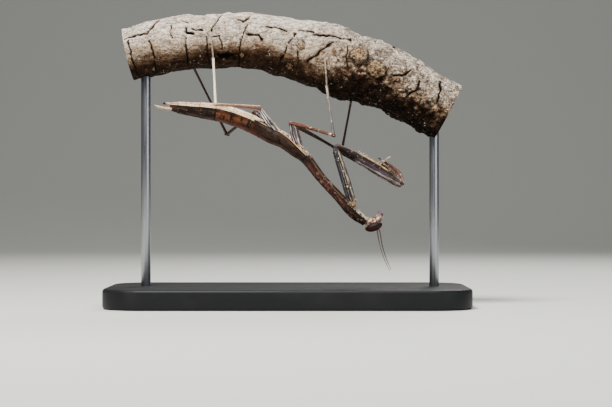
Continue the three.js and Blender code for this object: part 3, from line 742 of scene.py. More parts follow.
trunk = dict(
    # centre line from the tail to the front of the pronotum: x, z, half depth, half width
    line=[(-29.5, 49.95, 0.95, 0.95), (-27, 49.55, 1.45, 1.5), (-24.5, 49.2, 1.65, 1.95),
          (-20.2, 48.7, 2.05, 2.4),
          (-17, 48.2, 2.15, 2.6), (-13.8, 47.3, 2.2, 2.7), (-10.5, 46.1, 2.2, 2.6), (-7.3, 44.5, 2.15, 2.4),
          (-3.7, 42.6, 2.1, 2.3), (-0.8, 41.2, 1.95, 2.2), (2.2, 38.9, 1.7, 1.9), (4.7, 36.7, 1.4, 1.6),
          (8, 32.4, 1.2, 1.2), (10.5, 29.6, 1.16, 1.12), (13, 26.95, 1.2, 1.2), (15.35, 24.35, 1.42, 1.65),
          (17.3, 22.55, 1.36, 1.45), (19.4, 20.95, 1.0, 1.1)],
    joints=[0.8, 1.7, 2.6, 3.7, 5, 6.3, 7.15], front=17, pronotum=10.95, thorax=8.9, groove=15.15,
    roll=12, edgeLift=0.22, rim=0.1, sides=112,
    colours=dict(black="120b08", umber="271913", rust="643519", plum="5a332d", rose="cfaa9a", cream="e2c6a4",
                 tan="9a8572", dusk="4a3832", grey="8c8174"),
    # where each colour holds, as a share of the way from the tail
    zones=dict(
        # from the tail to the first black band the back is black and the sides umber: darker brown cuticle
        # with painted shade on it
        back=[(0.03, "black"), (0.21, "black"), (0.225, "rust"), (0.38, "rust"), (0.48, "umber"),
              (0.62, "umber"),
              (0.645, "black"), (0.67, "plum"), (0.83, "plum"), (0.89, "black")],
        ridge=[(0.1, "umber"), (0.21, "umber"), (0.23, "plum"), (0.36, "plum"), (0.5, "umber"),
               (0.64, "black"),
               (0.7, "umber"), (1, "black")],
        belly=[(0, "tan"), (0.06, "rose"), (0.21, "rose"), (0.24, "cream"), (0.38, "cream"), (0.47, "tan"),
               (0.64, "tan"), (0.7, "dusk"), (0.86, "dusk"), (0.92, "grey")]))
padShape = dict(
    hind=dict(span=(6.5, 8.65), margin=(-8, -30), ridge=70, lift=(-0.05, -0.35)),
    fore=dict(span=(8.3, 10.85), margin=(-16, 2), ridge=72, lift=(-0.08, -0.38)),
    widths=[(0.2,), (0.65,), (0.88,), (1,), (1,), (1,)], thick=0.5, rows=44, sides=64)


def trunkFrame(place):
    # centre, the mantis's left, its belly side, half width and half depth at a place on the centre line
    line = trunk["line"]
    x, z, deep, wide = curvePoint(line, place)
    ahead = curvePoint(line, min(place + 0.02, trunk["front"]))
    behind = curvePoint(line, max(place - 0.02, 0))
    along = Vector((ahead[0] - behind[0], 0, ahead[1] - behind[1])).normalized()
    belly, left = Vector((-along.z, 0, along.x)), Vector((0, -1, 0))
    roll = radians(trunk["roll"])
    side = left * cos(roll) + belly * sin(roll)
    up = belly * cos(roll) - left * sin(roll)
    return Vector((x, 0, z)), side, up, wide, deep


def trunkSection(across, deep):
    edge = trunk["edgeLift"]
    return across, edge + deep * (1 - edge if deep > 0 else 1 + edge)


def trunkRows():
    rows = {0, 0.01, 0.03, 0.06, 0.1, 0.15}
    for joint in trunk["joints"] + [trunk["pronotum"]]:
        rows |= {joint + step for step in (-0.12, -0.06, -0.03, -0.012, 0, 0.012, 0.03, 0.07, 0.13)}
    place = 0.2
    while place < trunk["front"]:
        if all(abs(place - row) > 0.03 for row in rows):
            rows.add(place)
        place += 0.055
    return sorted(rows) + [trunk["front"] + step for step in (0, 0.02, 0.05, 0.09, 0.15)]


def trunkLift(place, turn):
    # plates, rims, keels and grooves; turn goes from the middle of the belly (0) by the left edge (90)
    away = abs(turn - 180)  # 0 on the back, 90 at the edges, 180 on the belly
    lift = 0
    for joint in trunk["joints"]:
        past = place - joint
        if past >= 0:
            lift = max(lift, trunk["rim"] * exp(-past / 0.16))
        lift -= 0.09 * hump(past, -0.035, 0.03) + 0.03 * hump(past, 0.3, 0.1)
    back = ease(95, 82, away)
    if place > trunk["pronotum"]:
        lift += 0.12 * exp(-(place - trunk["pronotum"]) / 0.1)
        lift += 0.1 * hump(place, 16.85, 0.12)
        lift -= 0.13 * hump(place, trunk["groove"] + 0.12 * cos(radians(away * 2)), 0.07) * back
        teeth = 0.5 + 0.5 * sin(place * 24)
        lift += (0.07 + 0.09 * teeth) * hump(away, 88, 5)
        lift += 0.1 * hump(away, 0, 7) * ease(trunk["front"], trunk["front"] - 1, place)
        lift += 0.05 * max(noise.noise(Vector((place * 7, cos(radians(turn)) * 4, 3))), 0) * back
    else:
        lift += 0.1 * hump(away, 0, 6)
        lift += 0.1 * hump(away, 90, 4) - 0.07 * hump(away, 99, 4)
        lift -= 0.05 * hump(away, 150, 5)
    lift -= 0.09 * hump(place, trunk["thorax"], 0.05)
    spot = Vector((place * 3, sin(radians(turn)) * 2.2, cos(radians(turn)) * 2.2))
    return lift + 0.035 * noise.fractal(spot * 1.7, 1.0, 2.0, 4)


def trunkSkin(row, around):
    # the last rows turn inwards and close the front
    beyond = max(row - trunk["front"], 0)
    place = min(row, trunk["front"]) - beyond * 1.2
    centre, side, up, wide, deep = trunkFrame(place)
    turn = around * 360
    lift = trunkLift(place, turn) if not beyond else 0.05
    close = sqrt(max(1 - (1 - min(place / 0.15, 1)) ** 2, 0)) * (1 - 2.2 * beyond)
    across, raised = trunkSection(sin(radians(turn)), cos(radians(turn)))
    shift = trunk["edgeLift"] * deep
    out = shift + (raised * (deep + lift) - shift) * close
    return centre + side * across * (wide + lift) * close + up * out


def trunkMaterial():
    material, tree, along, around = startMaterial("bodyCuticle", 0.5)
    place = times(along, trunk["front"])
    inMm = times(along, 60.0)
    under = times(sums("ABSOLUTE", sums("SUBTRACT", around, 0.5)), 2.0)
    broad = streaky(inMm, around, 5.0, 10.0, 0.42, 0.6)
    fine = streaky(inMm, around, 2.6, 30.0, 0.46, 0.62)
    mottle = streaky(inMm, around, 1.1, 14.0, 0.5, 0.64)
    colours, zones = trunk["colours"], trunk["zones"]
    back, ridge, belly = [ramp(along, [(where, colours[name]) for where, name in zones[part]])
                          for part in ("back", "ridge", "belly")]
    back = cover(back, broad, 0.6, "0f0806")
    back = cover(back, fine, 0.4, "6b422c")
    back = cover(back, mottle, 0.65, "120a07")
    ridge = cover(ridge, fine, 0.35, "7d5240")
    colour = blend(remap(under, 0.2, 0.08), back, ridge)
    colour = cover(colour, band(under, 0.42, 0.02, 0.06), 0.6, "100a08")
    belly = cover(belly, fine, 0.75, "8a6a5c")
    # the broad pale streaks on the belly are painted highlights
    belly = cover(belly, broad, 0.22, "f2e2cc")
    belly = cover(belly, mottle, 0.5, "64483e")
    # the sides of the thorax are thickly freckled
    freckled = band(place, 9.0, 2.0, 0.4)
    for size, amount, code in ((0.5, 0.5, "3a2624"), (0.4, 0.45, "f6eee4"), (0.36, 0.5, "120a0c")):
        freckle = flecky(tree, size, amount)
        belly = cover(belly, freckle, times(freckled, 0.85), code)
    belly = blend(band(place, 13.1, 1.9, 0.4), belly, "705a52", "MULTIPLY")
    colour = blend(remap(under, 0.475, 0.5), colour, belly)
    # pale and dark lines along the side edge, left out where the wing pads cover it
    bare = sums("MAXIMUM", remap(place, 7.3, 6.9), times(remap(place, 11.0, 11.4), 0.12))
    for centre, half, code, share in ((0.5, 0.014, "e2c690", 0.9), (0.535, 0.01, "3a2218", 0.9),
                                      (0.565, 0.01, "ecd8b0", 0.8),
                                      (0.61, 0.006, "5a3c2c", 0.7)):
        fade = times(remap(fine, 0.0, 1.0, share, share * 0.4), bare)
        colour = cover(colour, band(under, centre, half, 0.012), fade, code)
    onBack = remap(under, 0.5, 0.46)
    for centre, low, high, reach in ((3.68, 0.0, 0.5, 0.05), (5.0, 0.28, 0.46, 0.1), (6.32, 0.24, 0.46, 0.12),
                                     (5.7, 0.34, 0.42, 0.04), (4.4, 0.2, 0.3, 0.03)):
        spot = times(band(place, centre, reach, 0.07), band(under, (low + high) / 2, (high - low) / 2, 0.05))
        colour = cover(colour, times(spot, onBack), 0.92, "080504")
    # a thin dark line just before each joint is painted shadow in the groove there; a faint pale rim follows
    # just behind it
    for joint in trunk["joints"] + [trunk["pronotum"]]:
        colour = cover(colour, band(place, joint - 0.03, 0.012, 0.04), 0.55, "140c09")
        rim = times(band(place, joint + 0.06, 0.01, 0.04), remap(fine, 0.0, 1.0, 0.0, 0.16))
        colour = blend(rim, colour, "b08c6c")
    frontPart = remap(place, 11.2, 12.2)
    for size, amount, code, share in ((0.5, 0.45, "86665a", 0.55), (0.42, 0.5, "150c0a", 0.8)):
        freckle = times(flecky(tree, size, amount), times(frontPart, share))
        colour = blend(freckle, colour, code)
    # black mottling where the pronotum begins, and flecks over all the cuticle
    dark = times(band(place, 10.9, 0.2, 0.4), remap(under, 0.62, 0.5))
    colour = cover(colour, sums("ADD", times(mottle, 0.6), 0.1), dark, "0a0706")
    flecks = flecky(tree, 0.3, 0.28)
    colour = cover(colour, flecks, 0.6, "1a100d")
    pale = flecky(tree, 0.22, 0.2)
    colour = cover(colour, pale, 0.3, "b89878")
    lift = sums("SUBTRACT", pale, sums("ADD", flecks, times(fine, 0.6)))
    return dress(material, colour, 0.14, 0.4, lift, remap(broad, 0.0, 1.0, 0.42, 0.58))


def neckMaterial():
    material, tree, along, _ = startMaterial("neckMembrane", 0.6)
    folds = sums("SINE", times(along, 46.0))
    # the membrane is darker in the troughs of its folds and paler on their crests: painted shade and
    # highlight
    colour = blend(remap(folds, -0.6, 0.8), "5e534a", "a3937f")
    spots = flecky(tree, 0.2, 0.3)
    colour = cover(colour, spots, 0.5, "4a4a4c")
    return dress(material, colour, 0.12, 0.35, folds)


def headPoint(along, side, front):
    tilt = radians(head["tilt"])
    mouthWay = Vector((cos(tilt), 0, sin(tilt)))
    faceWay = Vector((sin(tilt), 0, -cos(tilt)))
    return Vector(head["crown"]) + mouthWay * along + faceWay * front + Vector((0, side, 0))


head = dict(
    crown=(19.75, 0, 19.35), tilt=42,
    rings=[(0, 1.5, 0.45), (0.45, 2.1, 0.95), (1.3, 2.35, 1.25), (2.3, 2.1, 1.3), (3.2, 1.5, 1.15),
           (4, 1.05, 0.95),
           (4.5, 0.9, 0.75)],
    colours=dict(face="4a3228", back="5c4236", flesh="98705f", pale="dcc0a0", dark="24120e", black="050303"),
    # marks on both sides: place from crown to mouth, half length, way round, half width, colour
    marks=[(0.43, 0.1, 0.81, 0.08, "pale"), (0.78, 0.09, 0.98, 0.045, "pale"),
           # the small pale mark at the eye margin is a painted highlight
           (0.57, 0.05, 0.99, 0.025, "pale"),
           # the black mark below, between the mouthparts and the neck, is painted shade in the gap between
           # them
           (0.37, 0.05, 0.94, 0.04, "dark"), (0.65, 0.05, 0.83, 0.06, "black")],
    eye=dict(centre=(21.4, 2.35, 19.8), tilt=20, halves=(2.15, 1.2, 1.08)), antennaAt=(2.0, 0.52))


def makeTrunk():
    bm = startMesh()
    rollUp(bm, trunkRows(), trunk["sides"], trunkSkin, 0, (0, trunk["front"]))
    plate = [(-28.8, 0, 50.3), (-30.3, 0, 50.6), (-31.3, 0, 50.7)]
    limb(bm, plate, [(0.8, 0.4), (0.6, 0.35), (0.3, 0.25)], 18, 24, 0, caps=(0.04, 0.2))
    neckPath = [(18.7, 0, 21.5), (19.9, 0, 21.2), headPoint(2, 0, -0.5)]
    limb(bm, neckPath, [(0.95, 0.95), (0.98, 1.0), (0.95, 0.9)], 60, 40, 1,
         shape=lambda along, around: 0.045 * sin(along * 46) - 0.03)
    nodes = [f"abdomen_segment_{i}" for i in range(1, 8)]
    nodes += ["metathorax", "mesothorax", "pronotum", "tail_plate", "neck"]
    finishPiece("bodySkin", bm, [trunkMaterial(), neckMaterial()], nodes)


def padSurface(pad, leftSide, share, inward, lift):
    centre, side, up, wide, deep = trunkFrame(mix(*pad["span"], share))
    width = curvePoint(padShape["widths"], share * 5)[0] * sqrt(min(share / 0.04, 1))
    outer = mix(*pad["margin"], share)
    angle = radians(outer + (pad["ridge"] - outer) * width * inward)
    across, raised = trunkSection(cos(angle), -sin(angle))
    hand = 1 if leftSide else -1
    return (centre + side * hand * (across * wide + cos(angle) * lift)
            + up * (raised * deep - sin(angle) * lift))


def makeWingPad(pair, leftSide, material):
    pad, thick = padShape[pair], padShape["thick"]

    def where(share, around):
        inward = 0.5 - 0.5 * cos(around * 2 * pi)
        top = sin(around * 2 * pi)
        close = sqrt(max(1 - abs(2 * share - 1) ** 14, 0))
        lift = mix(*pad["lift"], share) + thick / 2 + thick / 2 * copysign(abs(top) ** 0.55, top) * close
        if top > 0:
            # a rolled front margin, veins that fan out to the tip and cross veins between them
            lift += 0.07 * hump(inward, 0.05, 0.05)
            for vein in range(1, 8):
                lift += 0.055 * hump(inward, vein / 8 + 0.03 * sin(share * 3 + vein), 0.018) * close
            lift += 0.02 * hump(sin(share * 40 + inward * 9), 1, 0.2)
        return padSurface(pad, leftSide, share, inward, lift)

    bm = startMesh()
    rollUp(bm, [i / padShape["rows"] for i in range(padShape["rows"] + 1)], padShape["sides"], where, 0)
    side = "left" if leftSide else "right"
    name = f"wingPad{pair.capitalize()}{side.capitalize()}"
    finishPiece(name, bm, [material], [f"wing_pad_{pair}_{side}"])


def wingPadMaterial():
    material, tree, along, around = startMaterial("wingPadCuticle", 0.52)
    inward = sums("SUBTRACT", 0.5, times(wave("COSINE", around), 0.5))
    streaks = streaky(times(along, 7.0), inward, 3.0, 40.0, 0.42, 0.6)
    cloud = patchy(tree, 1.5, 0.44, 0.56, 3.0)
    colour = blend(cloud, ramp(inward, [(0.1, "060505"), (0.4, "0c0908"), (0.6, "1c0e0a"), (0.9, "2a130d")]),
                   ramp(inward, [(0.1, "1a1514"), (0.3, "3c3029"), (0.55, "32211a"), (0.75, "3a2019"),
                                 (0.95, "341b15")]))
    colour = cover(colour, streaks, 0.3, "4a3022")
    dusk = streaky(times(along, 7.0), inward, 1.3, 9.0, 0.48, 0.58)
    colour = cover(colour, dusk, 0.75, "0a0706")
    veins = sums("POWER", sums("ABSOLUTE", sums("COSINE", times(inward, 8 * pi))), 14.0)
    colour = cover(colour, veins, 0.3, "5e4430")
    colour = blend(remap(inward, 0.24, 0.15), colour, "0a0706")
    colour = cover(colour, remap(inward, 0.13, 0.1), 0.95, "d2a674")
    colour = blend(remap(inward, 0.04, 0.02), colour, "2a1a12")
    spots = flecky(tree, 0.2, 0.3)
    colour = cover(colour, spots, 0.6, "15100f")
    lift = sums("SUBTRACT", veins, sums("ADD", spots, streaks))
    return dress(material, colour, 0.14, 0.4, lift)


makeTrunk()
padMaterial = wingPadMaterial()
for pair in ("hind", "fore"):
    for leftSide in (True, False):
        makeWingPad(pair, leftSide, padMaterial)
print("the trunk and wing pads are made")


def limbMaterial(name, length, stops, streak, fleck, amounts=(0.6, 0.7, 0.6), marks=(), count=12.0,
                 grains=(0.26, 0.16)):
    # cuticle of a limb: colours along it, mottling, streaks, pale flecks, dark pores, and marks, each with
    # a way round, half a width, where it begins and ends along the limb, a colour and a share
    material, tree, along, around = startMaterial(name)
    inMm = times(along, length)
    colour = ramp(along, stops)
    mottle = streaky(inMm, around, 0.9, 7.0, 0.48, 0.62)
    streaks = streaky(inMm, around, 2.4, count, 0.46, 0.6)
    colour = cover(colour, mottle, amounts[0] * 0.7, streak)
    for centre, half, start, end, code, share in marks:
        run = times(remap(along, start - 0.04, start + 0.04), remap(along, end + 0.04, end - 0.04))
        broken = times(run, remap(streaks, 0.0, 1.0, share, share * 0.6))
        colour = cover(colour, bandRound(around, centre, half, 0.025), broken, code)
    colour = cover(colour, streaks, amounts[0], streak)
    pale = flecky(tree, grains[0], 0.3)
    colour = cover(colour, pale, amounts[1], fleck)
    pores = flecky(tree, grains[1], 0.3)
    colour = cover(colour, pores, amounts[2], "120c0b")
    lift = sums("SUBTRACT", pale, sums("ADD", pores, times(streaks, 0.5)))
    return dress(material, colour, 0.1, 0.35, lift)


def ridges(count, height, turn=0.0):
    # keels that run along a limb
    return lambda along, around: height * (max(cos(count * 2 * pi * (around - turn)), 0) ** 4 - 0.3)


grasping = dict(
    coxaGirth=[(0.75, 0.85), (0.85, 0.92), (0.75, 0.8), (0.55, 0.6)],
    femurGirth=[(0.5, 0.55), (0.6, 0.85), (0.75, 1.1), (0.75, 1.2), (0.7, 1.1), (0.6, 0.85), (0.5, 0.6)],
    tibiaGirth=[(0.45, 0.45), (0.5, 0.5), (0.45, 0.5), (0.3, 0.32)],
    left=dict(
        coxa=[(16.5, -1.3, 25), (14.3, -2, 32.4), (12, -2.5, 39.5)],
        femur=[(12, -2.6, 40.1), (16.2, -2.6, 37.8), (20.3, -2.5, 35.6), (25.1, -2.3, 32.7),
               (28.5, -2.2, 30.5)],
        tibia=[(28.4, -2.2, 30.7), (28.2, -2.4, 32), (27.3, -2.5, 33.5), (25.8, -2.6, 34.7),
               (23.9, -2.8, 36)],
        tarsus=[(24.2, -3.1, 36.1), (24.5, -5, 36.6), (25.1, -7.2, 37)]),
    right=dict(
        coxa=[(16.3, 1.2, 24.4), (14.1, 2, 31.8), (11.8, 2.5, 38.9)],
        femur=[(11.6, 2.6, 39.5), (15.7, 2.6, 37.8), (19.8, 2.5, 35.6), (24.6, 2.3, 32.4), (28, 2.2, 30.1)],
        tibia=[(27.9, 2.2, 30.2), (27.7, 2.4, 31.5), (26.8, 2.5, 33), (25.3, 2.6, 34.2), (23.4, 2.8, 35.6)],
        tarsus=[(23.6, 3.1, 35.8), (23.5, 5, 36.6), (23.1, 7.2, 37.1)]),
    coxaTeeth=9, outerSpines=4, innerSpines=11, tibiaSpines=9)

walking = dict(
    midleg_left=dict(kind="mid", side=-1, coxa=[(2, -1.2, 40.2), (1.1, -2, 42.9), (0.6, -2.8, 45.6)],
                     knee=(11.2, -12.5, 42.1), ankle=(9.6, 54.6),
                     foot=[(9.5, 56.6), (9.3, 58.9), (9.1, 61.3)]),
    midleg_right=dict(kind="mid", side=1, coxa=[(3.3, 0.8, 39.2), (2.45, 1.9, 42.6), (1.8, 2.8, 45.2)],
                      knee=(13.6, 10, 38.8), ankle=(16.2, 53), foot=[(16.5, 55.4), (16.8, 58.2), (17, 61)]),
    hindleg_left=dict(kind="hind", side=-1, coxa=[(-2.5, -1.0, 43.2), (-4.9, -2.3, 46.1), (-7.0, -3, 49.3)],
                      knee=(-17.25, -16.5, 49.4), ankle=(-18.4, 61.5),
                      foot=[(-18.6, 64), (-19, 67.3), (-19.7, 70.4)]),
    hindleg_right=dict(kind="hind", side=1, coxa=[(-3.4, 0.9, 43.8), (-6.0, 2.6, 46.8), (-8.1, 3.2, 48.6)],
                       knee=(-16, 16.5, 43.5), ankle=(-24, 60.2),
                       foot=[(-24.7, 62.6), (-25.3, 65), (-25.6, 67.4)]))
girths = dict(
    mid=dict(coxa=[(0.65, 0.7), (0.52, 0.57), (0.45, 0.48)],
             femur=[(0.5, 0.58), (0.46, 0.5), (0.36, 0.38), (0.4, 0.42)]),
    hind=dict(coxa=[(0.95, 1.05), (0.78, 0.88), (0.5, 0.55)],
              femur=[(0.55, 0.62), (0.44, 0.47), (0.36, 0.38), (0.4, 0.42)]),
    tibia=[(0.36, 0.38), (0.27, 0.28), (0.26, 0.27), (0.3, 0.31)])
tarsalShares = [0, 0.42, 0.61, 0.74, 0.83, 1]  # where the five tarsal segments begin and end
ankleClearance, soleClearance = 0.55, 0.42  # from the bark to the middle of the limb


def onBark(x, z, side, clearance):
    # the point with this x and z that stands clear of the bark on its own side
    line, last = branch["line"], len(branch["line"]) - 1
    away = [hypot(p[0] - x, p[1] - z) for p in (curvePoint(line, last * i / 600) for i in range(601))]
    nearest = min(away)
    t = away.index(nearest) / 600
    x0, z0, radius = curvePoint(line, last * t)
    x2, z2, _ = curvePoint(line, min(last * t + 0.01, last))
    slope = Vector((x2 - x0, z2 - z0)).normalized()
    above = (z - z0) * slope.x - (x - x0) * slope.y
    y = nearest
    for _ in range(8):
        angle = degrees(atan2(above, side * y)) % 360
        reach = radius + branchLift(x0, angle, radius) + clearance
        y = sqrt(max(reach * reach - above * above, 0.01))
    return (x, side * y, z)


def pathPoint(points, share):
    return Vector(curvePoint(points, share * (len(points) - 1)))


def tarsus(bm, claws, points, girth, slot, deepWay, grip):
    # five segments, each a little swollen at its far end, and two curved claws that turn the way of the grip
    for start, end in zip(tarsalShares, tarsalShares[1:]):
        stretch = [pathPoint(points, mix(start, end, share)) for share in (0, 0.5, 1)]
        limb(bm, stretch, [(girth * 0.8, girth * 0.8), (girth * 0.82, girth * 0.86),
                           (girth * 1.1, girth * 1.15)], 10, 14,
             slot, deepWay, caps=(0.1, 0.14))
    tip, before = pathPoint(points, 1), pathPoint(points, 0.9)
    way = (tip - before).normalized()
    across = way.cross(Vector(grip)).normalized()
    for hand in (-1, 1):
        root = tip + across * hand * girth * 0.5 - way * 0.05
        end = root + way * 0.5 + Vector(grip) * 0.42 + across * hand * 0.24
        spike(claws, root, end, girth * 0.36, 0, way * 0.2 - Vector(grip) * 0.02)


def thornRow(bm, points, span, count, root, reach, radius, slot, out, across, alternate=0.62, lean=0.25):
    # a row of spines along a limb; every other one is shorter
    for i in range(count):
        share = mix(*span, i / (count - 1))
        here, ahead = pathPoint(points, share), pathPoint(points, min(share + 0.02, 1))
        way = (ahead - here).normalized()
        outward = (Vector(out) - way * Vector(out).dot(way)).normalized()
        start = here + outward * root + Vector(across) * (radius * 1.5)
        long = reach * (alternate if i % 2 else 1)
        tip = start + (outward + way * lean).normalized() * long + Vector(across) * long * 0.32
        spike(bm, start, tip, radius, slot, way * -0.06 * long)


def makeForeleg(side, materials, claws):
    leg, hand = grasping[side], (-1 if side == "left" else 1)
    bm = startMesh()
    limb(bm, leg["coxa"], grasping["coxaGirth"], 60, 40, 0, (1, 0, 0.3), ridges(3, 0.13, 0.08),
         caps=(0.03, 0.05))
    thornRow(bm, leg["coxa"], (0.12, 0.93), grasping["coxaTeeth"], 0.78, 0.3, 0.09, 4, (1, 0, 0.3),
             (0, hand * 0.5, 0))
    hip = Vector(leg["coxa"][-1])
    ball(bm, hip + Vector((0.15, hand * 0.05, 0.25)), (0.72, 0.6, 0.62), 20, 0, 16, 20)

    def femurShape(along, around):
        groove = hump(around, 0.75, 0.045) * ease(0.35, 0.5, along)
        keel = 0.1 * hump(around, 0.25, 0.04)
        keel = keel + 0.07 * hump(around, 0.66, 0.03) + 0.07 * hump(around, 0.84, 0.03)
        dents = 0.03 * sin(along * 60) * hump(around, 0.02, 0.05)
        return keel - 0.28 * groove + dents - 0.03

    limb(bm, leg["femur"], grasping["femurGirth"], 90, 56, 1, (-0.5, 0, -0.87), femurShape)
    grasp, fold = (0.5, 0, 0.87), (-0.5, 0, -0.87)
    thornRow(bm, leg["femur"], (0.42, 0.88), grasping["outerSpines"], 0.82, 1.0, 0.13, 4, grasp,
             (0, hand * 0.5, 0), 0.85)
    thornRow(bm, leg["femur"], (0.4, 0.92), grasping["innerSpines"], 0.85, 0.75, 0.1, 4, grasp,
             (0, -hand * 0.5, 0), 0.5)
    thornRow(bm, leg["femur"], (0.3, 0.4), 4, 0.8, 1.15, 0.12, 4, grasp, (0, -hand * 0.15, 0), 0.7)
    for lobe in (-1, 1):
        knee = Vector(leg["femur"][-1]) + Vector((-0.15, lobe * 0.42, 0.1))
        ball(bm, knee, (0.62, 0.18, 0.5), -35, 1, 12, 16)
    limb(bm, leg["tibia"], grasping["tibiaGirth"], 50, 32, 2, (-0.5, 0, -0.87), ridges(4, 0.06))
    for turn, count in ((0.5, grasping["tibiaSpines"]), (-0.5, grasping["tibiaSpines"] + 3)):
        thornRow(bm, leg["tibia"], (0.2, 0.93), count, 0.34, 0.45, 0.08, 4, fold, (0, hand * turn, 0), 0.8,
                 0.5)
    end = Vector(leg["tibia"][-1])
    spike(claws, end + Vector((0.1, 0, -0.1)), end + Vector((-1.15, hand * -0.1, -0.35)), 0.27, 0,
          (-0.05, 0, 0.3), 12, 12)
    tarsus(bm, claws, leg["tarsus"], 0.21, 3, (0, 0, 1), (0.1, 0, -0.4))
    nodes = [f"foreleg_{side}_{part}" for part in ("coxa", "femur", "tibia", "tarsus")]
    finishPiece("foreLeg" + side.capitalize(), bm, materials, nodes)


def makeWalkingLeg(name, materials, claws):
    leg = walking[name]
    girth, side = girths[leg["kind"]], leg["side"]
    ankle = onBark(*leg["ankle"], side, ankleClearance)
    soles = [onBark(*place, side, soleClearance) for place in leg["foot"]]
    hip, knee = Vector(leg["coxa"][-1]), Vector(leg["knee"])
    bend = (knee - hip).normalized()
    bm = startMesh()
    limb(bm, leg["coxa"], girth["coxa"], 44, 36, 0, (1, 0, 0.6), ridges(5, 0.09, 0.05), caps=(0.04, 0.08))
    ball(bm, hip - bend * 0.05, (0.5, 0.46, 0.46), 0, 0, 14, 18)
    thigh = [hip, hip.lerp(knee, 0.5) + Vector((0, 0, 0.12)), knee + bend * 0.2]
    limb(bm, thigh, girth["femur"], 70, 32, 1, (0.3, 0, 1), ridges(6, 0.05), caps=(0.02, 0.03))
    across = bend.cross(Vector((0.3, 0, 1))).normalized()
    for lobe in (-1, 1):
        ball(bm, knee + across * lobe * 0.3 - bend * 0.1, (0.42, 0.2, 0.4), 0, 1, 12, 16)
    spike(bm, knee - bend * 0.1 + across * 0.25, knee + bend * 0.75 + across * 0.35, 0.09, 4)
    shin = [knee, knee.lerp(Vector(ankle), 0.5), ankle]
    limb(bm, shin, girths["tibia"], 70, 26, 2, (1, 0.2, 0), ridges(4, 0.045), caps=(0.02, 0.03))
    down = (Vector(ankle) - knee).normalized()
    thornRow(bm, shin, (0.25, 0.9), 7, 0.2, 0.22, 0.05, 4, (0.2, 1, 0), down * 0.3, 0.8)
    for hand in (-1, 1):
        root = Vector(ankle) - down * 0.35 + Vector((hand * 0.2, 0, 0))
        spike(bm, root, root + down * 0.75 + Vector((hand * 0.22, 0, 0)), 0.09, 4)
    tarsus(bm, claws, [ankle, *soles], 0.22, 3, (1, 0, 0), (0, -side * 0.9, 0.1))
    parts = [f"{name}_{part}" for part in ("coxa", "femur", "tibia", "tarsus")]
    kind, hand = name.split("leg_")
    finishPiece(kind + "Leg" + hand.capitalize(), bm, materials, parts)


def thornMaterial(name, base, tip):
    material, _, along, _ = startMaterial(name, 0.35, 0.4)
    return dress(material, ramp(along, [(0, base), (0.6, base), (0.95, tip)]), 0.08, 0.15)


